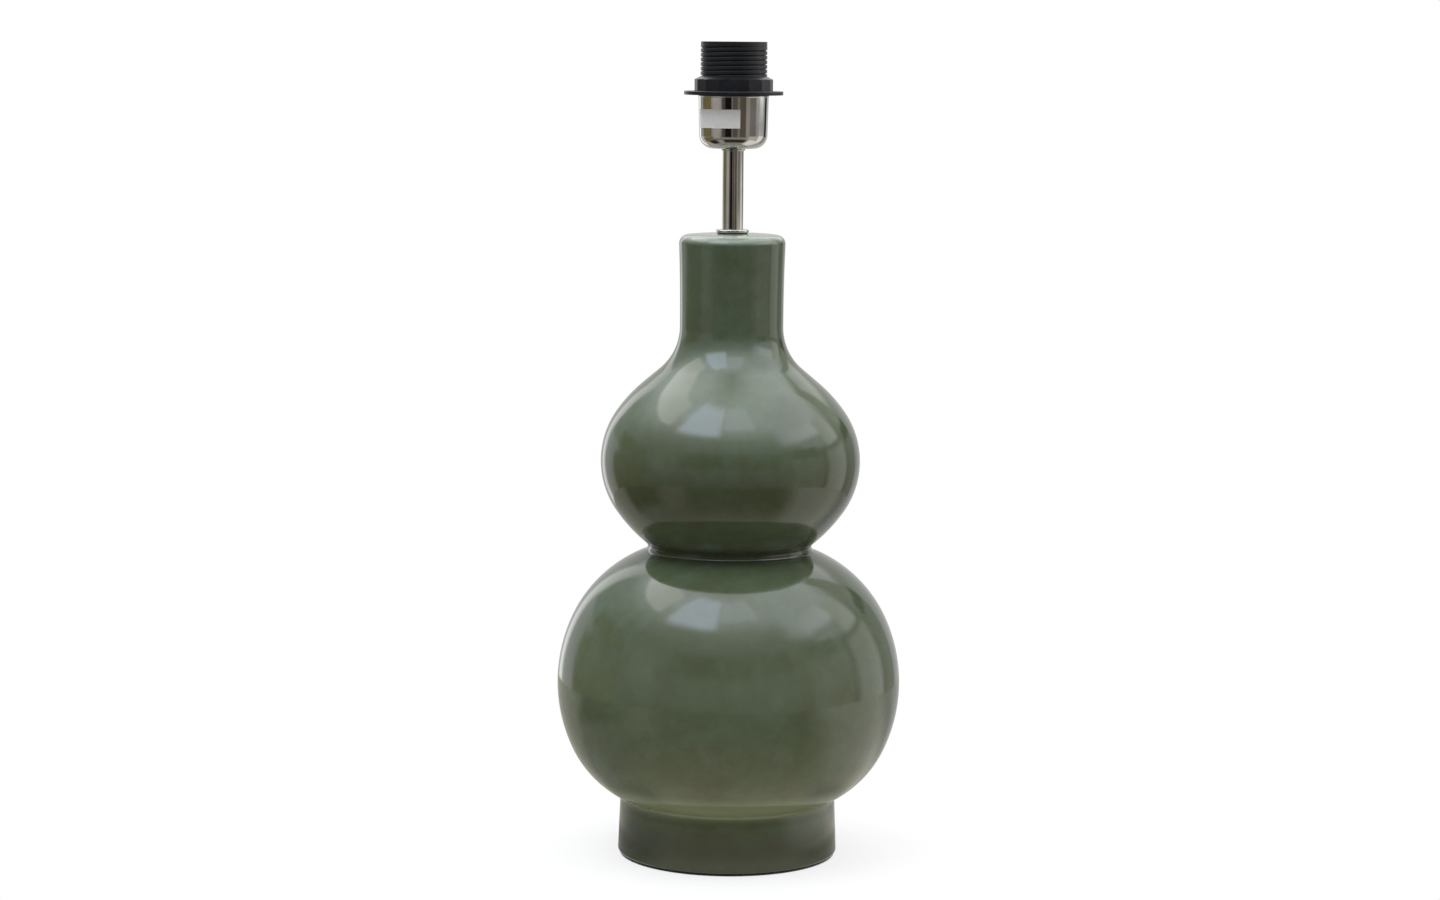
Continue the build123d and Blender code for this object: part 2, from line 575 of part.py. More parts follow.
def foot_box(side, length, extra=0.0):
    """Foot of a terminal's strip, sunk flush in the contact block's top; inwards on -1, outwards on 1."""
    width = STRIP_WIDTH + 2 * extra
    bottom = BLOCK_TOP_Z - STRIP_THICKNESS - extra
    start = strip_place(side) - STRIP_THICKNESS / 2 - extra
    block = Box(
        length + 2 * extra,
        width,
        STRIP_THICKNESS + 2 * extra,
        align=(Align.MIN, Align.CENTER, Align.MIN),
    )
    return Pos(start, 0, bottom) * block


def terminal(side, foot_length):
    """Brass terminal block with its strip, wire hole and screw hole."""
    x = side * TERMINAL_PLACE
    block = upright_box(TERMINAL_LENGTH, TERMINAL_WIDTH, TERMINAL_HEIGHT, x, BLOCK_Z)
    strip_height = BLOCK_TOP_Z - BLOCK_Z
    strip = upright_box(STRIP_THICKNESS, STRIP_WIDTH, strip_height, strip_place(side), BLOCK_Z)
    wire_z = BLOCK_Z + TERMINAL_HEIGHT / 2
    wire = Pos(x, 0, wire_z) * Rot(0, 90, 0) * Cylinder(WIRE_HOLE_RADIUS, TERMINAL_LENGTH * 2)
    screw = Pos(x, 0, BLOCK_Z) * Cylinder(
        TERMINAL_SCREW_RADIUS + SCREW_FIT,
        TERMINAL_HEIGHT / 2,
        align=(Align.CENTER, Align.CENTER, Align.MIN),
    )
    return block - wire - screw + strip + foot_box(side, foot_length)


def centre_terminal():
    """Terminal whose foot carries the sprung tongue."""
    return terminal(-1, CENTRE_FOOT_LENGTH)


def side_terminal():
    """Terminal whose foot lies under the screw shell."""
    return terminal(1, SIDE_FOOT_LENGTH)


def terminal_pocket(side, foot_length):
    """Room in the contact block for one terminal."""
    x = side * TERMINAL_PLACE
    pocket = upright_box(
        TERMINAL_LENGTH + 2 * SLIP_FIT,
        TERMINAL_WIDTH + 2 * SLIP_FIT,
        TERMINAL_HEIGHT + SLIP_FIT,
        x,
        BLOCK_Z,
    )
    slot = upright_box(
        STRIP_THICKNESS + 2 * SLIP_FIT,
        STRIP_WIDTH + 2 * SLIP_FIT,
        BLOCK_TOP_Z - BLOCK_Z,
        strip_place(side),
        BLOCK_Z,
    )
    return pocket + slot + foot_box(side, foot_length, SLIP_FIT)


def contact_block():
    """Insulating block with a flange, a well for the wires and a pocket for each terminal."""
    block = turned([
        (0, BLOCK_Z),
        (BLOCK_FOOT_RADIUS, BLOCK_Z),
        (BLOCK_FOOT_RADIUS, LEDGE_Z),
        (BLOCK_FLANGE_RADIUS, LEDGE_Z),
        (BLOCK_FLANGE_RADIUS, SKIRT_Z),
        (BLOCK_HEAD_RADIUS, SKIRT_Z),
        (BLOCK_HEAD_RADIUS, BLOCK_TOP_Z),
        (0, BLOCK_TOP_Z),
    ])
    well = Pos(0, 0, BLOCK_Z) * Cylinder(
        BLOCK_WELL_RADIUS,
        BLOCK_WELL_DEPTH,
        align=(Align.CENTER, Align.CENTER, Align.MIN),
    )
    return block - well - terminal_pocket(-1, CENTRE_FOOT_LENGTH) - terminal_pocket(1, SIDE_FOOT_LENGTH)


def terminal_screw(x):
    """Slotted screw that clamps a wire from below."""
    head_radius = TERMINAL_SCREW_RADIUS + TERMINAL_HEAD_LEDGE
    shank = Pos(x, 0, BLOCK_Z) * Cylinder(
        TERMINAL_SCREW_RADIUS,
        TERMINAL_SCREW_LENGTH,
        align=(Align.CENTER, Align.CENTER, Align.MIN),
    )
    head = Pos(x, 0, BLOCK_Z) * Cylinder(
        head_radius,
        TERMINAL_HEAD_HEIGHT,
        align=(Align.CENTER, Align.CENTER, Align.MAX),
    )
    slot = upright_box(
        4 * head_radius,
        SCREW_SLOT_WIDTH,
        SCREW_SLOT_DEPTH,
        x,
        BLOCK_Z - TERMINAL_HEAD_HEIGHT,
    )
    return shank + head - slot


def terminal_screws():
    """The two terminal screws."""
    return Compound(children=[terminal_screw(side * TERMINAL_PLACE) for side in (-1, 1)])


def tongue_root():
    """Point (x, z) about which the tongue bends."""
    foot_end = strip_place(-1) - STRIP_THICKNESS / 2 + CENTRE_FOOT_LENGTH
    return foot_end + TONGUE_THICKNESS / 2 + SLIP_FIT, BLOCK_TOP_Z + TONGUE_THICKNESS / 2 + SLIP_FIT


def rounded_bar(start, end, thickness):
    """Flat bar between two points of the XZ plane, with round ends."""
    length = math.dist(start, end)
    middle = ((start[0] + end[0]) / 2, (start[1] + end[1]) / 2)
    tilt = math.degrees(math.atan2(end[1] - start[1], end[0] - start[0]))
    return Pos(*middle) * Rot(0, 0, tilt) * SlotCenterToCenter(length, thickness)


def centre_contact():
    """Sprung tongue that rises from its root to a flat pad on the axis."""
    root = tongue_root()
    bend = (-TONGUE_PAD_LENGTH / 2, root[1] + TONGUE_RISE)
    tip = (TONGUE_PAD_LENGTH / 2, bend[1])
    shape = rounded_bar(root, bend, TONGUE_THICKNESS) + rounded_bar(bend, tip, TONGUE_THICKNESS)
    return extrude(Plane.XZ * shape, STRIP_WIDTH / 2, both=True)


def thread_ridge(base_radius, crest_radius, pitch, start_z, height):
    """Helical ridge of a thread, sunk a little into the wall it stands on."""
    rise = crest_radius - base_radius
    sunk = base_radius - rise * RIDGE_SUNK
    root = pitch * RIDGE_ROOT / 2
    crest = pitch * RIDGE_CREST / 2
    path = Pos(0, 0, start_z) * Helix(pitch, height, base_radius)
    section = make_face(Polyline(
        (sunk, start_z - root),
        (crest_radius, start_z - crest),
        (crest_radius, start_z + crest),
        (sunk, start_z + root),
        close=True,
    ))
    return sweep(Plane.XZ * section, path, is_frenet=True)


def screw_shell():
    """Brass shell with the inside thread for a bulb's cap."""
    shell = ring(SHELL_RADIUS, SHELL_ROOT_RADIUS, BLOCK_TOP_Z, SHELL_HEIGHT)
    thread = thread_ridge(
        SHELL_ROOT_RADIUS,
        SHELL_CREST_RADIUS,
        SHELL_PITCH,
        BLOCK_TOP_Z + SHELL_THREAD_START,
        SHELL_THREAD_HEIGHT,
    )
    return shell + thread


def lampholder_skirt():
    """Black barrel with the outside thread for shade rings and a plain mouth."""
    step_z = BLOCK_TOP_Z + SLIP_FIT
    barrel = turned([
        (BARREL_LOW_RADIUS, SKIRT_Z),
        (BARREL_ROOT_RADIUS, SKIRT_Z),
        (BARREL_ROOT_RADIUS, MOUTH_Z),
        (MOUTH_RADIUS + MOUTH_CHAMFER, MOUTH_Z),
        (MOUTH_RADIUS, MOUTH_Z - MOUTH_CHAMFER),
        (MOUTH_RADIUS, LIP_Z),
        (BARREL_BORE_RADIUS, LIP_Z),
        (BARREL_BORE_RADIUS, step_z),
        (BARREL_LOW_RADIUS, step_z),
    ])
    thread_start = SKIRT_Z + BARREL_PLAIN + BARREL_PITCH / 2
    thread_end = MOUTH_Z - BARREL_PLAIN - BARREL_PITCH / 2
    thread = thread_ridge(
        BARREL_ROOT_RADIUS,
        BARREL_CREST_RADIUS,
        BARREL_PITCH,
        thread_start,
        thread_end - thread_start,
    )
    return barrel + thread


def shade_ring():
    """Ring with a wide flange and a faceted collar, that carries the shade."""
    top = RING_Z + RING_HEIGHT
    flange = ring(RING_FLANGE_RADIUS, RING_BORE_RADIUS, RING_Z, RING_FLANGE)
    rims = flange.edges().filter_by(GeomType.CIRCLE).group_by(SortBy.RADIUS)[-1]
    flange = fillet(rims, RING_EDGE)
    prism = Pos(0, 0, RING_Z) * extrude(RegularPolygon(RING_COLLAR_RADIUS, RING_SIDES), RING_HEIGHT)
    blank = turned([
        (RING_BORE_RADIUS, RING_Z),
        (RING_COLLAR_RADIUS, RING_Z),
        (RING_COLLAR_RADIUS, top - RING_SLOPE_HEIGHT),
        (RING_BORE_RADIUS + RING_RIM, top),
        (RING_BORE_RADIUS, top),
    ])
    return flange + (prism & blank)


PIECES = (
    ceramic_body,
    felt_ring,
    cable_grommet,
    base_cushion,
    base_plate,
    base_washer,
    base_lock_washer,
    base_nut,
    rod_end_bush,
    threaded_rod,
    neck_bush,
    neck_washer,
    stem_tube,
    lampholder_cap,
    cap_bush,
    cap_grub_screw,
    blank_label,
    contact_block,
    centre_terminal,
    side_terminal,
    terminal_screws,
    centre_contact,
    screw_shell,
    lampholder_skirt,
    shade_ring,
)

os.makedirs("parts", exist_ok=True)
for piece in PIECES:
    export_step(piece(), f"parts/{piece.__name__}.step")
print("overall height", round(MOUTH_Z, 2), "mm")
print("tongue bends about x, z", [round(value, 3) for value in tongue_root()])
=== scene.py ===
"""Looks of a table lamp base: a glazed double-gourd vessel with a chrome stem and a screw lampholder.

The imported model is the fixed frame. Sizes are in millimetres and become metres in the meshes.
+Z is up along the lamp's axis, and the front is towards -Y.
"""

from __future__ import annotations

import logging
import math
from abc import ABC, abstractmethod
from dataclasses import dataclass, field
from enum import Enum
from typing import Callable

import bpy
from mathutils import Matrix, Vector

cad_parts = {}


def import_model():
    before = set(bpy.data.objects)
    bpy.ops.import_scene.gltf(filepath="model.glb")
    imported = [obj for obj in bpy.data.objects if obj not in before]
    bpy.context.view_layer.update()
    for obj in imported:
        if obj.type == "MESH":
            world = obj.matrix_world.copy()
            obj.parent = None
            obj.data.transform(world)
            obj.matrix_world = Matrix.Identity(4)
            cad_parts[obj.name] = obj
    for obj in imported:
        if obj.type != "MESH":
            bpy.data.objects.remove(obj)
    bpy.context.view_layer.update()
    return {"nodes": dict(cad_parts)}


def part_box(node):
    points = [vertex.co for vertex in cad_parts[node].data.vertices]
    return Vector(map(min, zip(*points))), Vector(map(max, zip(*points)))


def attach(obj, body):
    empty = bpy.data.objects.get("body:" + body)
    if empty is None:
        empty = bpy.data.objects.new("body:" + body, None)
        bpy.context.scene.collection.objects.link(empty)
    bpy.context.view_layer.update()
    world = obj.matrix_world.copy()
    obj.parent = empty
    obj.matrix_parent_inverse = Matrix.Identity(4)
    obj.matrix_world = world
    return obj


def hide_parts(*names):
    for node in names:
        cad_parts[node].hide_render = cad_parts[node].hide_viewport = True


LOG = logging.getLogger("lamp")
MM = 0.001
MERGE = 1.0e-6            # metres between points that count as one
FLAT = 1.0e-9             # metres from a flat cut that count as on it
CLEAR = 5.0               # millimetres that a cutter stands out of what it cuts
AIM_HEIGHT = 0.25         # metres above the floor, where the lamps and the dome are centred
NOISE_SPAN = (0.3, 0.7)   # values that a noise mostly stays between
THREAD_RUNS = 14          # straight runs in a thread's outline
THREAD_STEPS = 96         # steps in a thread's turn
THREAD_LEAD = 1.53        # turns that a thread starts below its lower cut
THREAD_SPARE = 3          # turns more than fit between its two cuts
WHITE = "#FFFFFF"
# Numbers of a Mix node's colour sockets, which share their names with other sockets
MIX_A = 6
MIX_B = 7
MIX_RESULT = 2
Point = tuple[float, float]
Place = tuple[float, float, float]


class Body(Enum):
    """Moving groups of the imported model."""

    LAMP = "lamp"
    SHADE_RING = "shade_ring_body"


class Slot(Enum):
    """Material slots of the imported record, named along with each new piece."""

    GLAZE = "glaze"
    FELT = "felt"
    RUBBER = "black_rubber"
    CHROME = "chrome"
    LABEL = "label"
    NICKEL = "nickel_brass"
    BLACK_PLASTIC = "black_plastic"


class Join(Enum):
    """Ways to combine two solids."""

    CUT = "DIFFERENCE"
    ADD = "UNION"
    COMMON = "INTERSECT"


def linear(code: str, level: float = 1.0) -> tuple[float, float, float, float]:
    """Turns an sRGB hex colour into linear light.

    Args:
        code: six hex digits after a #.
        level: how many times as bright the light is.

    Returns:
        Linear red, green, blue and an alpha of 1.
    """
    channels = [int(code[start:start + 2], 16) / 255 for start in (1, 3, 5)]
    red, green, blue = (c / 12.92 if c <= 0.04045 else ((c + 0.055) / 1.055) ** 2.4 for c in channels)
    return red * level, green * level, blue * level, 1.0


def add_node(
    tree: bpy.types.NodeTree,
    kind: str,
    inputs: dict[str | int, object] | None = None,
    stops: tuple[tuple[float, str], ...] = (),
    **settings: object,
) -> bpy.types.Node:
    """Adds a node with its settings and links.

    Args:
        tree: the node tree.
        kind: Blender's name of the node type.
        inputs: values for the node's inputs by name or number; an output socket is linked, a value is set.
        stops: position and sRGB hex colour of each tone of a colour ramp, in order.
        settings: attributes of the node itself.

    Returns:
        The new node.
    """
    node = tree.nodes.new(kind)
    for name, value in settings.items():
        setattr(node, name, value)
    for name, value in (inputs or {}).items():
        if isinstance(value, bpy.types.NodeSocket):
            tree.links.new(value, node.inputs[name])
        else:
            node.inputs[name].default_value = value
    if stops:
        elements = node.color_ramp.elements
        while len(elements) < len(stops):
            elements.new(0.5)
        for element, (position, tone) in zip(elements, stops):
            element.position = position
            element.color = linear(tone)
    return node


def bare_material(name: str) -> bpy.types.Material:
    """New material with an empty node tree.

    Args:
        name: name of the material.

    Returns:
        The material.
    """
    made = bpy.data.materials.new(name)
    made.use_nodes = True
    made.node_tree.nodes.clear()
    return made


def per_mm(size: float) -> float:
    """Texture scale on Object coordinates that gives marks of about this size in millimetres."""
    return 1.0 / (size * MM)


@dataclass(frozen=True)
class Round:
    """Circle that a stretch of an outline follows, in the plane of radius and height."""

    centre: Point
    radius: float

    def grown(self, by: float) -> Round:
        """The same circle with a larger radius."""
        return Round(self.centre, self.radius + by)

    def at(self, degrees: float) -> Point:
        """Point of the circle at an angle above the outward radius."""
        angle = math.radians(degrees)
        return self.centre[0] + self.radius * math.cos(angle), self.centre[1] + self.radius * math.sin(angle)

    def facing(self, point: Point) -> Point:
        """Point of the circle on the straight way from its centre to a point.

        Args:
            point: the point that it faces.

        Returns:
            The circle's point.
        """
        share = self.radius / math.dist(self.centre, point)
        x, z = (middle + (to - middle) * share for middle, to in zip(self.centre, point))
        return x, z

    def at_reach(self, reach: float, side: int) -> Point:
        """Point of the circle at a distance from the axis, the upper (1) or the lower (-1) of the two."""
        return reach, self.centre[1] + side * math.sqrt(self.radius**2 - (reach - self.centre[0]) ** 2)


def meeting(first: Round, second: Round, near: Point) -> Point:
    """Point where two circles cross.

    Args:
        first: one circle.
        second: the other circle.
        near: which of the two crossings is wanted.

    Returns:
        The crossing nearest to that point.
    """
    apart = math.dist(first.centre, second.centre)
    along = (apart**2 + first.radius**2 - second.radius**2) / (2 * apart)
    aside = math.sqrt(first.radius**2 - along**2)
    way = [(s - f) / apart for f, s in zip(first.centre, second.centre)]
    foot = [f + along * w for f, w in zip(first.centre, way)]
    crossings = [(foot[0] - side * aside * way[1], foot[1] + side * aside * way[0]) for side in (-1, 1)]
    return min(crossings, key=lambda point: math.dist(point, near))


def beside(start: Point, end: Point, gap: float, other: Round, near: Point) -> tuple[Point, Point]:
    """Centre of a fillet between a straight side and a circle.

    Args:
        start: lower end of the side.
        end: upper end of the side.
        gap: radius of the fillet, which lies outside the side.
        other: circle that the centre lies on.
        near: which of the two centres is wanted.

    Returns:
        The fillet's centre, and the point where it touches the side.
    """
    length = math.dist(start, end)
    way = [(e - s) / length for s, e in zip(start, end)]
    outward = (way[1], -way[0])
    base = [s + gap * o for s, o in zip(start, outward)]
    offset = [b - c for b, c in zip(base, other.centre)]
    half = sum(o * w for o, w in zip(offset, way))
    spread = math.sqrt(half**2 - sum(o * o for o in offset) + other.radius**2)
    centres = [(base[0] + t * way[0], base[1] + t * way[1]) for t in (-half - spread, -half + spread)]
    centre = min(centres, key=lambda point: math.dist(point, near))
    return centre, (centre[0] - gap * outward[0], centre[1] - gap * outward[1])


def let_go() -> None:
    """Leaves edit mode and deselects everything."""
    if bpy.context.object and bpy.context.object.mode != "OBJECT":
        bpy.ops.object.mode_set(mode="OBJECT")
    bpy.ops.object.select_all(action="DESELECT")


def only(piece: bpy.types.Object) -> None:
    """Makes a piece the only selected and the active object, in object mode.

    Args:
        piece: the piece.
    """
    let_go()
    piece.select_set(True)
    bpy.context.view_layer.objects.active = piece


def edit_all(piece: bpy.types.Object) -> None:
    """Opens a piece in edit mode with all of it selected.

    Args:
        piece: the piece.
    """
    only(piece)
    bpy.ops.object.mode_set(mode="EDIT")
    bpy.ops.mesh.select_all(action="SELECT")


def close_up(piece: bpy.types.Object) -> None:
    """Merges doubled points and turns the faces of a closed mesh outwards.

    Args:
        piece: the closed mesh.
    """
    edit_all(piece)
    bpy.ops.mesh.remove_doubles(threshold=MERGE)
    bpy.ops.mesh.normals_make_consistent(inside=False)
    bpy.ops.object.mode_set(mode="OBJECT")


def smooth(piece: bpy.types.Object, degrees: float = 35.0) -> bpy.types.Object:
    """Shades a piece smooth: edges sharper than an angle stay crisp, and large faces keep their direction.

    Args:
        piece: the piece.
        degrees: the angle.

    Returns:
        The piece.
    """
    only(piece)
    bpy.ops.object.shade_smooth_by_angle(angle=math.radians(degrees))
    weighted = piece.modifiers.new("weighted", "WEIGHTED_NORMAL")
    weighted.keep_sharp = True
    bpy.ops.object.modifier_apply(modifier=weighted.name)
    return piece


def combine(piece: bpy.types.Object, tool: bpy.types.Object, way: Join) -> bpy.types.Object:
    """Combines a piece with a second solid, which is used up.

    Args:
        piece: the solid that stays.
        tool: the solid that cuts, joins or limits it.
        way: how they are combined.

    Returns:
        The piece.
    """
    only(piece)
    modifier = piece.modifiers.new(way.name, "BOOLEAN")
    modifier.operation = way.value
    modifier.solver = "EXACT"
    modifier.object = tool
    bpy.ops.object.modifier_apply(modifier=modifier.name)
    bpy.data.objects.remove(tool)
    edit_all(piece)
    bpy.ops.mesh.remove_doubles(threshold=MERGE)
    bpy.ops.mesh.dissolve_degenerate(threshold=MERGE)
    bpy.ops.object.mode_set(mode="OBJECT")
    return piece


def drill(radius: float, start: Place, end: Place, sides: int = 96) -> bpy.types.Object:
    """Plain cylinder between two points, to cut with.

    Args:
        radius: radius in millimetres.
        start: middle of one end, in millimetres.
        end: middle of the other end, in millimetres.
        sides: number of flat sides.

    Returns:
        The cylinder, with its place in its mesh.
    """
    way = Vector(end) - Vector(start)
    let_go()
    bpy.ops.mesh.primitive_cylinder_add(
        vertices=sides,
        radius=radius * MM,
        depth=way.length * MM,
        location=(Vector(start) + Vector(end)) * MM / 2,
        rotation=way.to_track_quat("Z", "Y").to_euler(),
    )
    bpy.ops.object.transform_apply(location=True, rotation=True, scale=True)
    return bpy.context.object


@dataclass
class Lathe:
    """Outline drawn run by run in edit mode and turned about an axis.

    Points are (radius, height) in millimetres, counted from origin along radial and axial.
    """

    name: str
    start: Point
    fineness: float = 3.0
    origin: Vector = field(default_factory=lambda: Vector((0, 0, 0)))
    radial: Vector = field(default_factory=lambda: Vector((1, 0, 0)))
    axial: Vector = field(default_factory=lambda: Vector((0, 0, 1)))
    at: Point = field(init=False)
    piece: bpy.types.Object = field(init=False)

    def __post_init__(self) -> None:
        """Puts the outline's first point in place."""
        let_go()
        bpy.context.tool_settings.mesh_select_mode = (True, False, False)
        bpy.ops.mesh.primitive_plane_add(size=MM)
        self.piece = bpy.context.object
        self.piece.name = self.name
        self.piece.data.name = self.name
        edit_all(self.piece)
        bpy.ops.mesh.merge(type="CENTER")
        bpy.ops.transform.translate(value=self.place(self.start))
        self.at = self.start

    def place(self, point: Point) -> Vector:
        """Place of an outline's point, in metres."""
        return (self.origin + self.radial * point[0] + self.axial * point[1]) * MM

    def line(self, *points: Point) -> Lathe:
        """Goes on in straight runs to each point in turn.

        Args:
            points: the end of each run.

        Returns:
            The outline, for the next run.
        """
        for point in points:
            step = self.place(point) - self.place(self.at)
            bpy.ops.mesh.extrude_region_move(TRANSFORM_OT_translate={"value": step})
            self.at = point
        return self

    def arc(self, centre: Point, end: Point, fineness: float | None = None) -> Lathe:
        """Goes on round a centre to an end point, by the shorter way.

        Args:
            centre: the arc's centre.
            end: the arc's last point.
            fineness: largest angle of a step, in degrees.

        Returns:
            The outline, for the next run.
        """
        angles = [math.atan2(point[1] - centre[1], point[0] - centre[0]) for point in (self.at, end)]
        turn = math.remainder(angles[1] - angles[0], math.tau)
        steps = max(2, math.ceil(math.degrees(abs(turn)) / (fineness or self.fineness)))
        bpy.ops.mesh.spin(
            steps=steps,
            angle=turn,
            center=self.place(centre),
            axis=-self.radial.cross(self.axial),
        )
        self.at = end
        return self

    def turned(self, steps: int = 128) -> bpy.types.Object:
        """Turns the outline a full circle about the axis and merges its seam.

        Args:
            steps: number of steps in the circle.

        Returns:
            The turned piece, in object mode.
        """
        edit_all(self.piece)
        bpy.ops.mesh.spin(steps=steps, angle=math.tau, center=self.origin * MM, axis=self.axial)
        close_up(self.piece)
        return self.piece

    def turned_part(self, first: float, last: float, steps: int) -> bpy.types.Object:
        """Turns the outline over part of a circle about the lamp's axis.

        Args:
            first: angle of the start about the axis, in degrees from +X towards +Y.
            last: angle of the end.
            steps: number of steps between them.

        Returns:
            The piece, in object mode.
        """
        only(self.piece)
        self.piece.rotation_euler = self.axial * math.radians(first)
        bpy.ops.object.transform_apply(location=False, rotation=True, scale=False)
        edit_all(self.piece)
        turn = math.radians(first - last)
        bpy.ops.mesh.spin(steps=steps, angle=turn, center=self.origin * MM, axis=self.axial)
        close_up(self.piece)
        edit_all(self.piece)
        bpy.ops.mesh.fill_holes(sides=4)
        close_up(self.piece)
        return self.piece


def ring(name: str, inner: float, outer: float, low: float, high: float, edge: float) -> bpy.types.Object:
    """Turned ring with rounded outer edges.

    Args:
        name: name of the new piece.
        inner: inner radius.
        outer: outer radius.
        low: height of the lower face.
        high: height of the upper face.
        edge: radius of the outer edges.

    Returns:
        The piece.
    """
    outline = Lathe(name, (inner, low), fineness=15.0)
    outline.line((outer - edge, low)).arc((outer - edge, low + edge), (outer, low + edge))
    outline.line((outer, high - edge)).arc((outer - edge, high - edge), (outer - edge, high))
    outline.line((inner, high), (inner, low))
    return outline.turned()


def threaded_bar(
    name: str, pitch: float, low: float, high: float, radius_at: Callable[[float], float]
) -> bpy.types.Object:
    """Solid bar with a right-handed thread, cut flat at both ends.

    Args:
        name: name of the new piece.
        pitch: rise of one turn.
        low: height of the lower end.
        high: height of the upper end.
        radius_at: radius at a share of the pitch from 0 to 1, the same at both.

    Returns:
        The piece.
    """
    bottom = low - THREAD_LEAD * pitch
    outline = Lathe(name, (radius_at(0.0), bottom))
    for step in range(1, THREAD_RUNS + 1):
        outline.line((radius_at(step / THREAD_RUNS), bottom + pitch * step / THREAD_RUNS))
    bar = outline.piece
    only(bar)
    screw = bar.modifiers.new("thread", "SCREW")
    screw.axis = "Z"
    screw.screw_offset = pitch * MM
    screw.iterations = math.ceil((high - low) / pitch) + THREAD_SPARE
    screw.steps = THREAD_STEPS
    screw.render_steps = THREAD_STEPS
    screw.use_merge_vertices = True
    screw.merge_threshold = MERGE
    bpy.ops.object.modifier_apply(modifier=screw.name)
    for height, side in ((low, -1), (high, 1)):
        edit_all(bar)
        bpy.ops.mesh.bisect(
            plane_co=(0, 0, height * MM),
            plane_no=(0, 0, side),
            use_fill=True,
            clear_outer=True,
            threshold=FLAT,
        )
        bpy.ops.object.mode_set(mode="OBJECT")
    close_up(bar)
    return bar


def settle(piece: bpy.types.Object, body: Body, slot: Slot, *nodes: str) -> None:
    """Joins a finished piece to the frame.

    Args:
        piece: the finished piece.
        body: the moving group that it rides on.
        slot: the record's material slot of the piece; not used.
        nodes: the CAD nodes that it stands for.
    """
    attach(piece, body.value)
    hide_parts(*nodes)
    faces = len(piece.data.polygons)
    LOG.info("%s: %d faces, on %s, for %s", piece.name, faces, body.value, ", ".join(nodes))


class Finish(ABC):
    """A material of the object, made from nodes on Object coordinates."""

    name: str

    def material(self) -> bpy.types.Material:
        """Makes the material, or gives the one that is there.

        Returns:
            The material.
        """
        made = bpy.data.materials.get(self.name)
        if made:
            return made
        made = bare_material(self.name)
        tree = made.node_tree
        place = add_node(tree, "ShaderNodeTexCoord").outputs["Object"]
        shader = self.shade(tree, place)
        add_node(tree, "ShaderNodeOutputMaterial", {"Surface": shader.outputs["BSDF"]})
        return made

    @abstractmethod
    def shade(self, tree: bpy.types.NodeTree, place: bpy.types.NodeSocket) -> bpy.types.Node:
        """Adds the nodes of the finish.

        Args:
            tree: the material's node tree.
            place: Object coordinates.

        Returns:
            The shader node.
        """

    def dress(self, *pieces: bpy.types.Object) -> None:
        """Gives the material to pieces, in place of what they had.

        Args:
            pieces: the pieces.
        """
        for piece in pieces:
            piece.data.materials.clear()
            piece.data.materials.append(self.material())


@dataclass(frozen=True)
class Band:
    """Level ring round the vessel where a tone is laid over the glaze, fading out above and below. Most bands
    are painted shade or painted light; the waist's is also pooled glaze and the rim's also thin glaze.
    """

    middle_mm: float
    fade_mm: float
    depth: float
    tone: str


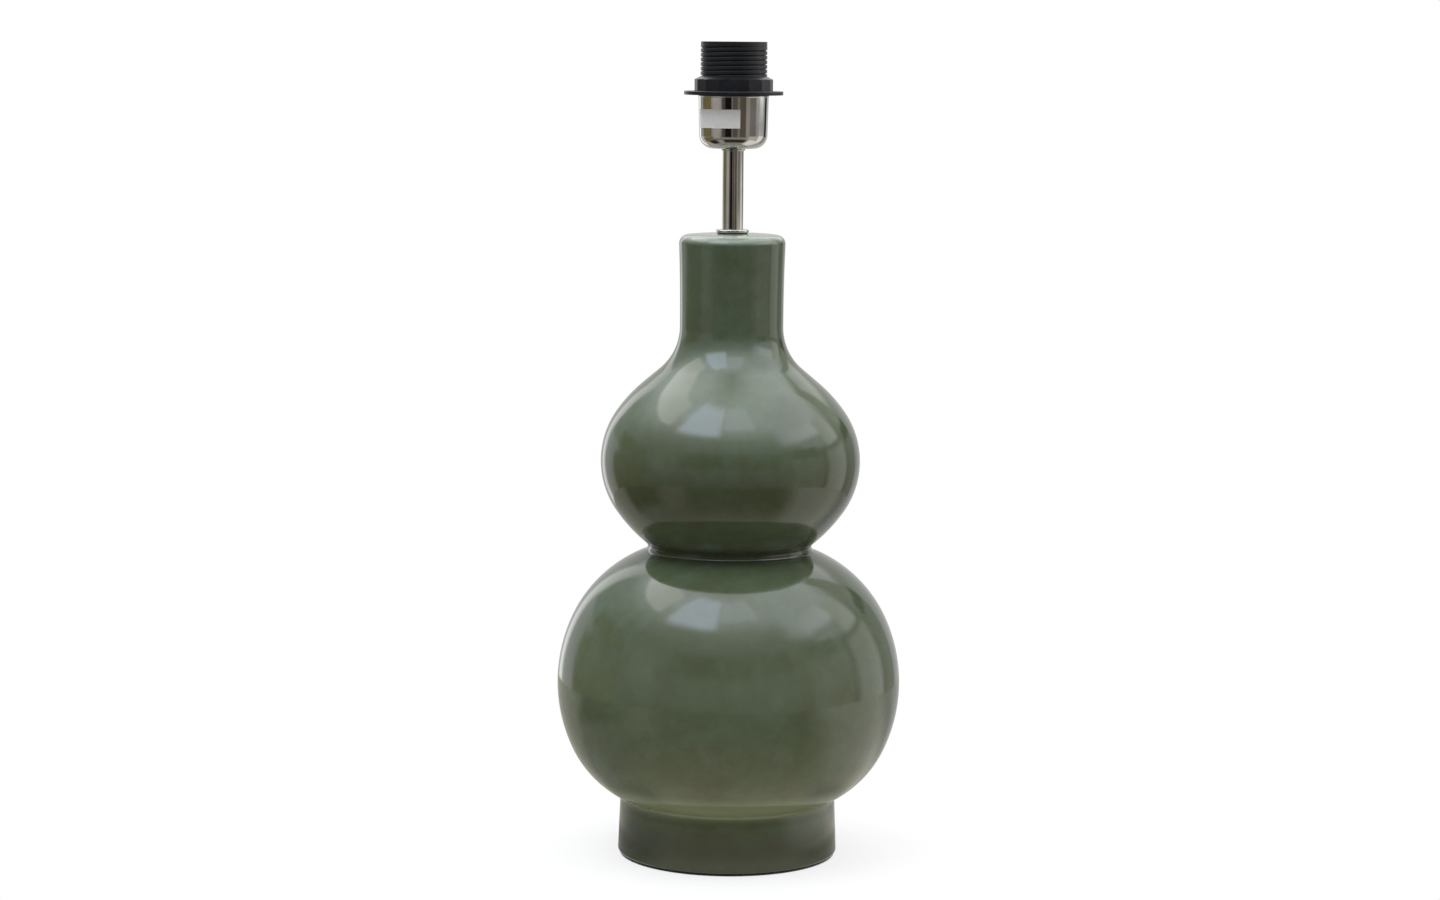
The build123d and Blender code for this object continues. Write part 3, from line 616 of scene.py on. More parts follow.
@dataclass(frozen=True)
class CeladonGlaze(Finish):
    """Celadon glaze on stoneware: a thick glassy coat, clouded from olive to grey-green, smooth and wet, with
    bands of painted shade and painted light laid over it.
    """

    name: str = "celadon_glaze"
    olive: str = "#454C35"
    sage: str = "#49533E"
    grey_green: str = "#4E5B48"
    # Painted shade: the foot darkened as under the lower gourd's overhang.
    foot: Band = Band(12.0, 24.0, 0.76, "#2A2E24")
    # Painted light: a paler ring round the lower gourd's middle.
    painted_girth_light: Band = Band(116.0, 44.0, 0.11, "#848E7C")
    # Painted light: a paler ring on the upper gourd's shoulder.
    shoulder: Band = Band(268.0, 34.0, 0.06, "#848E7C")
    # Painted shade: a darker olive ring on the upper gourd's lower half, where less light reaches.
    belly: Band = Band(226.0, 29.0, 0.4, "#3F402B")
    # Pooled glaze in the waist's crease, darkened further as painted shade.
    waist: Band = Band(186.3, 5.0, 0.8, "#2A2F1C")
    # Painted light: a pale ring just above the foot, where the floor's bounce lights the glaze.
    crease: Band = Band(40.0, 12.0, 0.82, "#778267")
    # Painted shade: the top of the foot darkened in the crease under the lower gourd.
    painted_foot_top_shade: Band = Band(31.0, 4.2, 0.35, "#2A2E24")
    # Thin glaze at the neck's rim, lightened further as a painted highlight.
    rim: Band = Band(375.6, 7.0, 0.9, "#848E7C")
    cloud_mm: float = 60.0
    mottle_mm: float = 9.0
    mottle_share: float = 0.45
    wave_mm: float = 28.0
    wave_depth_mm: float = 0.12
    peel_mm: float = 2.2
    peel_depth_mm: float = 0.004
    gloss: Point = (0.05, 0.11)
    ior: float = 1.5

    def shade(self, tree: bpy.types.NodeTree, place: bpy.types.NodeSocket) -> bpy.types.Node:
        """Clouds and mottles the colour, lays the bands of painted shade and painted light over it in turn,
        and waves the surface.

        Args:
            tree: the material's node tree.
            place: Object coordinates.

        Returns:
            The shader node.
        """
        cloud = add_node(tree, "ShaderNodeTexNoise", {
            "Vector": place,
            "Scale": per_mm(self.cloud_mm),
            "Detail": 3.0,
            "Roughness": 0.6,
            "Distortion": 0.6,
        })
        mottle = add_node(tree, "ShaderNodeTexNoise", {
            "Vector": place, "Scale": per_mm(self.mottle_mm), "Detail": 6.0, "Roughness": 0.65,
        })
        both = add_node(tree, "ShaderNodeMix", {
            "Factor": self.mottle_share, "A": cloud.outputs["Fac"], "B": mottle.outputs["Fac"],
        })
        clouded = add_node(tree, "ShaderNodeValToRGB", {
            "Fac": both.outputs["Result"],
        }, stops=((0.36, self.olive), (0.5, self.sage), (0.64, self.grey_green)))
        colour = clouded.outputs["Color"]
        height = add_node(tree, "ShaderNodeSeparateXYZ", {"Vector": place})
        # Each band mixes its tone in by height: painted shade, painted light, pooled glaze or thin glaze, as
        # noted at each band.
        for band in (
            self.foot, self.painted_girth_light, self.shoulder, self.belly, self.waist, self.crease, self.painted_foot_top_shade, self.rim
        ):
            over = add_node(tree, "ShaderNodeMath", {
                0: height.outputs["Z"], 1: band.middle_mm * MM,
            }, operation="SUBTRACT")
            aside = add_node(tree, "ShaderNodeMath", {0: over.outputs["Value"]}, operation="ABSOLUTE")
            share = add_node(tree, "ShaderNodeMapRange", {
                "Value": aside.outputs["Value"],
                "From Min": 0.0,
                "From Max": band.fade_mm * MM,
                "To Min": band.depth,
                "To Max": 0.0,
            }, interpolation_type="SMOOTHSTEP")
            colour = add_node(tree, "ShaderNodeMix", {
                "Factor": share.outputs["Result"], MIX_A: colour, MIX_B: linear(band.tone),
            }, data_type="RGBA").outputs[MIX_RESULT]
        wave = add_node(tree, "ShaderNodeTexNoise", {
            "Vector": place, "Scale": per_mm(self.wave_mm), "Detail": 1.0,
        })
        peel = add_node(tree, "ShaderNodeTexNoise", {
            "Vector": place, "Scale": per_mm(self.peel_mm), "Detail": 2.0,
        })
        waved = add_node(tree, "ShaderNodeBump", {
            "Height": wave.outputs["Fac"], "Strength": 1.0, "Distance": self.wave_depth_mm * MM,
        })
        peeled = add_node(tree, "ShaderNodeBump", {
            "Height": peel.outputs["Fac"],
            "Strength": 1.0,
            "Distance": self.peel_depth_mm * MM,
            "Normal": waved.outputs["Normal"],
        })
        sheen = add_node(tree, "ShaderNodeMapRange", {
            "Value": mottle.outputs["Fac"], "To Min": self.gloss[0], "To Max": self.gloss[1],
        })
        return add_node(tree, "ShaderNodeBsdfPrincipled", {
            "Base Color": colour,
            "Roughness": sheen.outputs["Result"],
            "IOR": self.ior,
            "Normal": peeled.outputs["Normal"],
        })


@dataclass(frozen=True)
class BareClay(Finish):
    """Unglazed stoneware inside the body and the foot: buff, dry and gritty."""

    name: str = "bare_stoneware"
    buff: str = "#B3A38A"
    grog: str = "#8C7A62"
    grit_mm: float = 0.8
    grit_depth_mm: float = 0.1
    roughness: float = 0.9

    def shade(self, tree: bpy.types.NodeTree, place: bpy.types.NodeSocket) -> bpy.types.Node:
        """Speckles the clay with grog and roughens it.

        Args:
            tree: the material's node tree.
            place: Object coordinates.

        Returns:
            The shader node.
        """
        grit = add_node(tree, "ShaderNodeTexNoise", {
            "Vector": place, "Scale": per_mm(self.grit_mm), "Detail": 4.0,
        })
        speckled = add_node(tree, "ShaderNodeValToRGB", {
            "Fac": grit.outputs["Fac"],
        }, stops=((0.38, self.grog), (0.55, self.buff)))
        bump = add_node(tree, "ShaderNodeBump", {
            "Height": grit.outputs["Fac"], "Strength": 0.6, "Distance": self.grit_depth_mm * MM,
        })
        return add_node(tree, "ShaderNodeBsdfPrincipled", {
            "Base Color": speckled.outputs["Color"],
            "Roughness": self.roughness,
            "Normal": bump.outputs["Normal"],
        })


@dataclass(frozen=True)
class Metal(Finish):
    """Plated or bare metal: two close tones, a roughness that varies with handling, and faint working lines.

    Real lines are too fine to show, so they are drawn coarser.
    """

    name: str
    tone: str
    dull_tone: str
    gloss: Point
    cloud_mm: float
    line_mm: float
    line_depth_mm: float
    line_stretch: float = 0.04

    def shade(self, tree: bpy.types.NodeTree, place: bpy.types.NodeSocket) -> bpy.types.Node:
        """Clouds the tone and gloss, and draws lines round the axis, as turning and buffing leave them.

        Args:
            tree: the material's node tree.
            place: Object coordinates.

        Returns:
            The shader node.
        """
        cloud = add_node(tree, "ShaderNodeTexNoise", {
            "Vector": place, "Scale": per_mm(self.cloud_mm), "Detail": 4.0, "Roughness": 0.6,
        })
        clouded = add_node(tree, "ShaderNodeValToRGB", {
            "Fac": cloud.outputs["Fac"],
        }, stops=((0.35, self.dull_tone), (0.6, self.tone)))
        gloss = add_node(tree, "ShaderNodeMapRange", {
            "Value": cloud.outputs["Fac"],
            "From Min": NOISE_SPAN[0],
            "From Max": NOISE_SPAN[1],
            "To Min": self.gloss[0],
            "To Max": self.gloss[1],
        })
        drawn = add_node(tree, "ShaderNodeMapping", {
            "Vector": place, "Scale": (self.line_stretch, self.line_stretch, 1.0),
        })
        lines = add_node(tree, "ShaderNodeTexNoise", {
            "Vector": drawn.outputs["Vector"], "Scale": per_mm(self.line_mm), "Detail": 2.0,
        })
        bump = add_node(tree, "ShaderNodeBump", {
            "Height": lines.outputs["Fac"], "Strength": 1.0, "Distance": self.line_depth_mm * MM,
        })
        return add_node(tree, "ShaderNodeBsdfPrincipled", {
            "Base Color": clouded.outputs["Color"],
            "Metallic": 1.0,
            "Roughness": gloss.outputs["Result"],
            "Normal": bump.outputs["Normal"],
        })


@dataclass(frozen=True)
class Moulded(Finish):
    """Plastic, rubber, foam, paper or pressed ceramic: an even colour with a fine skin from its making.

    A real skin is too fine to show, so its grain is drawn coarser.
    """

    name: str
    tone: str
    worn_tone: str
    gloss: Point
    grain_mm: float
    grain_depth_mm: float
    shine: float = 0.5
    marks_per_grain: float = 22.0

    def shade(self, tree: bpy.types.NodeTree, place: bpy.types.NodeSocket) -> bpy.types.Node:
        """Grains the skin and varies its gloss with faint handling marks.

        Args:
            tree: the material's node tree.
            place: Object coordinates.

        Returns:
            The shader node.
        """
        grain = add_node(tree, "ShaderNodeTexNoise", {
            "Vector": place, "Scale": per_mm(self.grain_mm), "Detail": 3.0,
        })
        marks = add_node(tree, "ShaderNodeTexNoise", {
            "Vector": place,
            "Scale": per_mm(self.grain_mm * self.marks_per_grain),
            "Detail": 5.0,
            "Roughness": 0.7,
        })
        worn = add_node(tree, "ShaderNodeValToRGB", {
            "Fac": marks.outputs["Fac"],
        }, stops=((0.45, self.tone), (0.75, self.worn_tone)))
        gloss = add_node(tree, "ShaderNodeMapRange", {
            "Value": marks.outputs["Fac"],
            "From Min": NOISE_SPAN[0],
            "From Max": NOISE_SPAN[1],
            "To Min": self.gloss[0],
            "To Max": self.gloss[1],
        })
        bump = add_node(tree, "ShaderNodeBump", {
            "Height": grain.outputs["Fac"], "Strength": 1.0, "Distance": self.grain_depth_mm * MM,
        })
        return add_node(tree, "ShaderNodeBsdfPrincipled", {
            "Base Color": worn.outputs["Color"],
            "Roughness": gloss.outputs["Result"],
            "Specular IOR Level": self.shine,
            "Normal": bump.outputs["Normal"],
        })


@dataclass(frozen=True)
class WoolFelt(Finish):
    """Pressed wool felt: matted fibres, dark and soft, with a pale sheen at grazing light.

    Single fibres are too fine to show, so tufts of them are drawn.
    """

    name: str = "wool_felt"
    deep: str = "#1C1D1B"
    fibre: str = "#3D3E3A"
    tuft_mm: float = 0.35
    tuft_depth_mm: float = 0.2

    def shade(self, tree: bpy.types.NodeTree, place: bpy.types.NodeSocket) -> bpy.types.Node:
        """Mats fibres in two tones and lifts them.

        Args:
            tree: the material's node tree.
            place: Object coordinates.

        Returns:
            The shader node.
        """
        mat = add_node(tree, "ShaderNodeTexNoise", {
            "Vector": place,
            "Scale": per_mm(self.tuft_mm),
            "Detail": 5.0,
            "Roughness": 0.75,
            "Distortion": 1.5,
        })
        matted = add_node(tree, "ShaderNodeValToRGB", {
            "Fac": mat.outputs["Fac"],
        }, stops=((0.35, self.deep), (0.65, self.fibre)))
        bump = add_node(tree, "ShaderNodeBump", {
            "Height": mat.outputs["Fac"], "Strength": 1.0, "Distance": self.tuft_depth_mm * MM,
        })
        return add_node(tree, "ShaderNodeBsdfPrincipled", {
            "Base Color": matted.outputs["Color"],
            "Roughness": 1.0,
            "Sheen Weight": 0.5,
            "Sheen Roughness": 0.4,
            "Normal": bump.outputs["Normal"],
        })


GLAZE = CeladonGlaze()
CLAY = BareClay()
FELT = WoolFelt()
# Bright plate on polished metal: a near mirror with a warm cast
CHROME = Metal(
    "chrome_plate", "#C4C1BC", "#B6B3AD",
    gloss=(0.03, 0.08), cloud_mm=14.0, line_mm=0.25, line_depth_mm=0.0004,
)
# Zinc on turned steel: a soft grey shine that yellows in patches
ZINC = Metal(
    "zinc_plated_steel", "#BDBDB6", "#A9A48F",
    gloss=(0.28, 0.45), cloud_mm=5.0, line_mm=0.3, line_depth_mm=0.004,
)
# Bare brass strip: yellow and half bright
BRASS = Metal(
    "drawn_brass", "#C8A662", "#B28D4B",
    gloss=(0.2, 0.34), cloud_mm=4.0, line_mm=0.3, line_depth_mm=0.002,
)
# Nickel on pressed brass: a pale, warm, slightly blurred shine
NICKEL = Metal(
    "nickel_plated_brass", "#CFCABE", "#BBB4A3",
    gloss=(0.14, 0.26), cloud_mm=6.0, line_mm=0.3, line_depth_mm=0.001,
)
# Polyester pressed in a steel mould: black with a soft shine
BLACK_PLASTIC = Moulded(
    "moulded_black_polyester", "#0B0B0D", "#131316",
    gloss=(0.3, 0.42), grain_mm=0.35, grain_depth_mm=0.006, shine=0.22,
)
# Injected nylon: black, a little duller
NYLON = Moulded(
    "moulded_black_nylon", "#1B1B1C", "#29292A",
    gloss=(0.42, 0.55), grain_mm=0.4, grain_depth_mm=0.008,
)
# Moulded rubber: black and matt
RUBBER = Moulded(
    "black_rubber", "#101011", "#1F1F20",
    gloss=(0.55, 0.75), grain_mm=0.5, grain_depth_mm=0.012,
)
# Closed-cell foam cut from a sheet: pale and chalky, with small pores
FOAM = Moulded(
    "closed_cell_foam", "#C9C4B7", "#B5AF9F",
    gloss=(0.8, 0.95), grain_mm=0.9, grain_depth_mm=0.12,
)
# Steatite pressed and fired without a glaze: off-white with an eggshell shine
STEATITE = Moulded(
    "pressed_steatite", "#DCD7CB", "#C9C2B2",
    gloss=(0.45, 0.6), grain_mm=0.5, grain_depth_mm=0.01,
)
# Coated paper: almost white, with a satin shine
PAPER = Moulded(
    "satin_paper_label", "#DDDCDA", "#D2D1CF",
    gloss=(0.35, 0.5), grain_mm=0.3, grain_depth_mm=0.003,
)


@dataclass(frozen=True)
class Gourd:
    """Turned bulge: a belly arc about the equator, with an arc tangent to it below and one above."""

    equator: float
    reach: float
    belly_arc: float
    belly_angle: float
    low_arc: float
    high_arc: float

    def belly(self) -> Round:
        """Circle of the belly."""
        return Round((self.reach - self.belly_arc, self.equator), self.belly_arc)

    def shoulder(self, side: int) -> Round:
        """Circle of the lower (-1) or the upper (1) side.

        Args:
            side: -1 or 1.

        Returns:
            The circle, tangent to the belly's.
        """
        arc = self.high_arc if side > 0 else self.low_arc
        apart = self.belly_arc - arc
        angle = math.radians(self.belly_angle)
        centre = self.belly().centre
        return Round((centre[0] + apart * math.cos(angle), centre[1] + side * apart * math.sin(angle)), arc)

    def inside(self, wall: float) -> Gourd:
        """The inner face of the bulge, a wall's thickness in.

        Args:
            wall: the wall's thickness.

        Returns:
            The smaller bulge.
        """
        return Gourd(
            self.equator,
            self.reach - wall,
            self.belly_arc - wall,
            self.belly_angle,
            self.low_arc - wall,
            self.high_arc - wall,
        )

    def draw(self, outline: Lathe, side: int, end: Point) -> None:
        """Draws the bulge from one side, where the outline stands, over the belly to the other side.

        Args:
            outline: the outline, standing on one side's circle.
            side: 1 to go up, -1 to go down.
            end: last point, on the other side's circle.
        """
        belly = self.belly()
        outline.arc(self.shoulder(-side).centre, belly.at(-side * self.belly_angle))
        outline.arc(belly.centre, belly.at(side * self.belly_angle))
        outline.arc(self.shoulder(side).centre, end)


@dataclass
class Vessel:
    """Double-gourd ceramic body on its foot, with the felt under it and the grommet at its rear."""

    lower: Gourd = Gourd(
        equator=104.8742, reach=103.2, belly_arc=93.0, belly_angle=25.0, low_arc=64.3, high_arc=78.6
    )
    upper: Gourd = Gourd(
        equator=239.0456, reach=77.75, belly_arc=52.1, belly_angle=35.0, low_arc=97.1, high_arc=88.0
    )
    wall: float = 6.0
    foot_low: Point = (66.2, 1.5)
    foot_high: Point = (64.9, 35.2)
    foot_edge: float = 1.2
    crease_fillet: float = 2.5
    waist: Point = (45.8, 186.2559)
    waist_fillet: float = 3.2
    neck_radius: float = 30.9
    slope_angle: float = 50.0
    neck_fillet: float = 32.8
    flare_low: float = 326.4025
    rim: Point = (31.9, 373.9)
    rim_edge: float = 5.2
    seat: Point = (9.85, 375.2025)
    neck_hole: float = 7.2
    neck_plate: float = 8.0
    floor_hole: float = 23.0
    floor_low: float = 31.0412
    foot_bore: float = 57.4
    inlet_height: float = 12.0
    inlet_hole: float = 5.0
    inlet_cut: Point = (45.4, 76.0)
    felt_inner: float = 59.7
    felt_outer: float = 64.2
    felt_edge: float = 0.3
    grommet_bore: float = 3.6
    grommet_body: float = 4.8
    grommet_lip: float = 5.8
    grommet_lip_end: float = 57.006
    grommet_flange: float = 7.0
    grommet_flange_start: float = 66.165
    grommet_edge: float = 0.4
    steps: int = 192

    def foot_corner(self) -> tuple[Point, Point, Point]:
        """Rounded lower edge of the foot.

        Returns:
            Its first point under the foot, its centre, and its last point on the side.
        """
        edge = self.foot_edge
        taper = math.atan2(self.foot_low[0] - self.foot_high[0], self.foot_high[1] - self.foot_low[1])
        side = self.foot_low[0] - edge * math.tan(taper)
        centre = (side - edge / math.cos(taper), self.foot_low[1] + edge)
        return (centre[0], self.foot_low[1]), centre, Round(centre, edge).at(math.degrees(taper))

    def outer_skin(self) -> bpy.types.Object:
        """Glazed outside, from under the foot to the hole in the neck's top.

        Returns:
            The open skin.
        """
        start, edge_centre, edge_end = self.foot_corner()
        outline = Lathe("gourd_vessel", start)
        outline.arc(edge_centre, edge_end, fineness=12.0)
        foot_side = self.lower.shoulder(-1)
        fillet = self.crease_fillet
        crease, touch = beside(self.foot_low, self.foot_high, fillet, foot_side.grown(fillet), self.foot_high)
        outline.line(touch).arc(crease, foot_side.facing(crease), fineness=8.0)
        below, above = self.lower.shoulder(1), self.upper.shoulder(-1)
        waist = meeting(below.grown(self.waist_fillet), above.grown(self.waist_fillet), self.waist)
        self.lower.draw(outline, 1, below.facing(waist))
        outline.arc(waist, above.facing(waist), fineness=8.0)
        shoulder = self.upper.shoulder(1)
        slope = math.radians(self.slope_angle)
        leave = shoulder.at(self.slope_angle)
        reach = self.neck_radius + self.neck_fillet * (1.0 - math.cos(slope))
        join = (reach, leave[1] + (leave[0] - reach) / math.tan(slope))
        bend = (self.neck_radius + self.neck_fillet, join[1] + self.neck_fillet * math.sin(slope))
        self.upper.draw(outline, 1, leave)
        outline.line(join).arc(bend, (self.neck_radius, bend[1])).line((self.neck_radius, self.flare_low))
        flare, crown = self.flare(), self.crown()
        edge = meeting(flare.grown(self.rim_edge), crown.grown(-self.rim_edge), self.rim)
        outline.arc(flare.centre, flare.facing(edge), fineness=0.4)
        outline.arc(edge, crown.facing(edge), fineness=6.0)
        outline.arc(crown.centre, self.seat, fineness=0.5).line((self.neck_hole, self.seat[1]))
        return outline.turned(self.steps)

    def flare(self) -> Round:
        """Large circle that the neck's upper stretch follows as it flares.

        Returns:
            The circle.
        """
        out, up = self.rim[0] - self.neck_radius, self.rim[1] - self.flare_low
        radius = (out**2 + up**2) / (2 * out)
        return Round((self.neck_radius + radius, self.flare_low), radius)

    def crown(self) -> Round:
        """Large circle that the neck's top follows as it rises to the washer's seat.

        Returns:
            The circle.
        """
        out, up = self.rim[0] - self.seat[0], self.seat[1] - self.rim[1]
        radius = (out**2 + up**2) / (2 * up)
        return Round((self.seat[0], self.seat[1] - radius), radius)

    def inner_skin(self) -> bpy.types.Object:
        """Bare inside, from the hole in the neck's top down to the underside of the foot.

        Returns:
            The open skin.
        """
        lower, upper = self.lower.inside(self.wall), self.upper.inside(self.wall)
        neck, waist = self.neck_radius - self.wall, self.waist[0] - self.wall
        plate = self.seat[1] - self.neck_plate
        outline = Lathe("gourd_inside", (self.neck_hole, self.seat[1]), fineness=6.0)
        outline.line((self.neck_hole, plate), (neck, plate), upper.shoulder(1).at_reach(neck, 1))
        upper.draw(outline, -1, upper.shoulder(-1).at_reach(waist, -1))
        outline.line(lower.shoulder(1).at_reach(waist, 1))
        floor = lower.shoulder(-1).at_reach(self.foot_high[0] - self.wall, -1)
        lower.draw(outline, -1, floor)
        outline.line(
            (self.floor_hole, floor[1]),
            (self.floor_hole, self.floor_low),
            (self.foot_bore, self.floor_low),
            (self.foot_bore, self.foot_low[1]),
            self.foot_corner()[0],
        )
        return outline.turned(self.steps)

    def ceramic(self) -> bpy.types.Object:
        """The whole ceramic body: glazed outside, bare inside, with the cable inlet's hole.

        Returns:
            The piece.
        """
        outside, inside = self.outer_skin(), self.inner_skin()
        GLAZE.dress(outside)
        CLAY.dress(inside)
        only(outside)
        inside.select_set(True)
        bpy.ops.object.join()
        close_up(outside)
        ends = [(0, reach, self.inlet_height) for reach in self.inlet_cut]
        hole = drill(self.inlet_hole, *ends, sides=48)
        GLAZE.dress(hole)
        return smooth(combine(outside, hole, Join.CUT), degrees=40.0)

    def grommet(self) -> bpy.types.Object:
        """Rubber grommet in the inlet, turned about the inlet's axis.

        Returns:
            The piece.
        """
        low, high = (corner.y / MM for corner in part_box("cable_grommet"))
        bore, edge, flange = self.grommet_bore, self.grommet_edge, self.grommet_flange
        outline = Lathe(
            "inlet_grommet",
            (bore, low),
            fineness=15.0,
            origin=Vector((0, 0, self.inlet_height)),
            axial=Vector((0, 1, 0)),
        )
        outline.line((self.grommet_lip, low), (self.grommet_lip, self.grommet_lip_end))
        outline.line((self.grommet_body, self.grommet_lip_end))
        outline.line((self.grommet_body, self.grommet_flange_start))
        outline.line((flange, self.grommet_flange_start), (flange, high - edge))
        outline.arc((flange - edge, high - edge), (flange - edge, high))
        outline.line((bore + edge, high)).arc((bore + edge, high - edge), (bore, high - edge))
        outline.line((bore, low))
        return smooth(outline.turned(steps=64))

    def build(self) -> None:
        """Builds and dresses the ceramic body, the grommet and the felt."""
        settle(self.ceramic(), Body.LAMP, Slot.GLAZE, "ceramic_body")
        grommet = self.grommet()
        RUBBER.dress(grommet)
        settle(grommet, Body.LAMP, Slot.RUBBER, "cable_grommet")
        felt = ring("felt_pad", self.felt_inner, self.felt_outer, 0.0, self.foot_low[1], self.felt_edge)
        FELT.dress(smooth(felt))
        settle(felt, Body.LAMP, Slot.FELT, "felt_ring")


@dataclass
class Stem:
    """Chrome washer and sleeve above the neck."""

    bore: float = 5.2
    washer: float = 9.85
    washer_edge: float = 0.3
    washer_drop: float = 0.5
    sleeve: float = 6.3
    sleeve_edge: float = 0.25

    def build(self) -> None:
        """Builds and dresses the washer and the sleeve."""
        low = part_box("neck_washer")[0].z / MM
        seam, high = (corner.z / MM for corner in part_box("stem_tube"))
        seam -= self.washer_drop
        for piece, node in (
            (ring("neck_disc", self.bore, self.washer, low, seam, self.washer_edge), "neck_washer"),
            (ring("stem_sleeve", self.bore, self.sleeve, seam, high, self.sleeve_edge), "stem_tube"),
        ):
            CHROME.dress(smooth(piece))
            settle(piece, Body.LAMP, Slot.CHROME, node)


@dataclass
class Lampholder:
    """Chrome cup with its bush and label, the black threaded barrel and the bulb's shell."""

    cup_low: float = 425.6025
    cup_high: float = 457.1025
    cup_low_radius: float = 20.05
    cup_radius: float = 20.85
    cup_rounding: float = 8.0
    cup_wall: float = 0.8
    cup_hole: float = 6.6
    bead_height: float = 1.2
    bead_rise: float = 0.2
    cup_bore: float = 19.9
    cup_low_bore: float = 19.0
    ledge: float = 442.9025
    rod_hole: float = 5.05
    collar: float = 7.1
    collar_low: float = 424.4025
    bush_neck: float = 6.55
    bush: float = 8.5
    bush_high: float = 434.4025
    bush_edge: float = 0.2
    grub_hole: float = 2.05
    label_low: float = 12.3
    label_height: float = 11.0
    label_thickness: float = 0.12
    label_glue: float = 0.02
    label_span: Point = (-163.0, -79.0)
    label_steps: int = 48
    barrel_low: float = 445.4025
    barrel_high: float = 488.6025
    barrel_root: float = 18.8
    barrel_crest: float = 19.7
    barrel_pitch: float = 2.7
    barrel_plain: float = 1.6
    barrel_rim: float = 3.0
    barrel_rim_inset: float = 0.05
    barrel_rim_slope: float = 0.3
    barrel_edge: float = 0.3
    groove_narrowing: float = 5.0
    thread_sunk: float = 0.15
    thread_overlap: float = 0.5
    barrel_low_bore: float = 16.5
    barrel_step: float = 455.1025
    barrel_bore: float = 14.7
    mouth: float = 14.2
    mouth_low: float = 478.8025
    mouth_chamfer: float = 0.8
    shell: float = 14.5
    shell_root: float = 13.5
    shell_crest: float = 12.4
    shell_pitch: float = 3.629
    shell_low: float = 454.9025
    shell_high: float = 478.7025
    shell_plain: Point = (3.2, 2.0)
    shell_edge: float = 0.15
    shell_waste: float = 0.6
    shell_play: float = 0.03

    def side_radius(self, height: float) -> float:
        """Radius of the cup's side at a height above its bottom."""
        side = self.cup_high - self.cup_low - self.bead_height
        return self.cup_low_radius + (self.cup_radius - self.cup_low_radius) * height / side

    def cup(self) -> bpy.types.Object:
        """Drawn cup with a rounded bottom, a tapered side and a rolled rim.

        Returns:
            The piece.
        """
        low, high, big = self.cup_low, self.cup_high, self.cup_rounding
        floor, small = low + self.cup_wall, big - self.cup_wall
        taper = math.atan2(self.cup_radius - self.cup_low_radius, high - low - self.bead_height)
        centre = (self.side_radius(big) - big / math.cos(taper), low + big)
        bead_low = (self.cup_radius, high - self.bead_height)
        bead_half = self.bead_height / 2
        bead = (bead_half**2 + self.bead_rise**2) / (2 * self.bead_rise)
        bead_centre = (self.cup_radius + self.bead_rise - bead, high - bead_half)
        outline = Lathe("holder_cup", (self.cup_hole, low), fineness=6.0)
        outline.line((centre[0], low)).arc(centre, Round(centre, big).at(-math.degrees(taper)))
        outline.line(bead_low).arc(bead_centre, (self.cup_radius, high))
        outline.line((self.cup_bore, high), (self.cup_bore, self.ledge), (self.cup_low_bore, self.ledge))
        outline.line((self.cup_low_bore, floor + small))
        outline.arc((self.cup_low_bore - small, floor + small), (self.cup_low_bore - small, floor))
        outline.line((self.cup_hole, floor), (self.cup_hole, low))
        return smooth(outline.turned())

    def cup_bush(self) -> bpy.types.Object:
        """Turned bush in the cup's bottom, with the collar that shows under it and the grub screw's hole.

        Returns:
            The piece.
        """
        low, floor, top = self.cup_low, self.cup_low + self.cup_wall, self.bush_high
        edge = self.bush_edge
        outline = Lathe("cup_bush", (self.rod_hole, self.collar_low), fineness=15.0)
        outline.line((self.collar - edge, self.collar_low))
        outline.arc((self.collar - edge, self.collar_low + edge), (self.collar, self.collar_low + edge))
        outline.line((self.collar, low), (self.bush_neck, low), (self.bush_neck, floor), (self.bush, floor))
        outline.line((self.bush, top), (self.rod_hole, top), (self.rod_hole, self.collar_low))
        middle = (floor + top) / 2
        hole = drill(self.grub_hole, (0, 0, middle), (self.bush + CLEAR, 0, middle), sides=32)
        return smooth(combine(outline.turned(), hole, Join.CUT))

    def label(self) -> bpy.types.Object:
        """Blank sticker round part of the cup's side.

        Returns:
            The piece.
        """
        ends = (self.label_low, self.label_low + self.label_height)
        low_r, high_r = (self.side_radius(height) + self.label_glue for height in ends)
        low = self.cup_low + self.label_low
        high = low + self.label_height
        outline = Lathe("plain_label", (low_r, low))
        outline.line((low_r + self.label_thickness, low), (high_r + self.label_thickness, high))
        outline.line((high_r, high), (low_r, low))
        return smooth(outline.turned_part(*self.label_span, self.label_steps))

    def barrel(self) -> bpy.types.Object:
        """Black barrel with the outside thread for shade rings and a plain mouth.

        Returns:
            The piece.
        """
        low, high, edge, root = self.barrel_low, self.barrel_high, self.barrel_edge, self.barrel_root
        rim, rim_low = self.barrel_crest - self.barrel_rim_inset, high - self.barrel_rim
        outline = Lathe("threaded_barrel", (self.barrel_low_bore, low), fineness=15.0)
        outline.line((root, low), (root, rim_low - self.barrel_rim_slope), (rim, rim_low))
        outline.line((rim, high - edge)).arc((rim - edge, high - edge), (rim - edge, high))
        outline.line((self.mouth + self.mouth_chamfer, high), (self.mouth, high - self.mouth_chamfer))
        outline.line((self.mouth, self.mouth_low), (self.barrel_bore, self.mouth_low))
        outline.line((self.barrel_bore, self.barrel_step), (self.barrel_low_bore, self.barrel_step))
        outline.line((self.barrel_low_bore, low))
        barrel = outline.turned()
        floor = root - self.thread_sunk

        def ridge(share: float) -> float:
            """Broad flat ridge with a narrow groove, sunk a little into the barrel."""
            rise = self.groove_narrowing * (0.5 - 0.5 * math.cos(math.tau * share))
            return floor + (self.barrel_crest - floor) * min(1.0, rise)

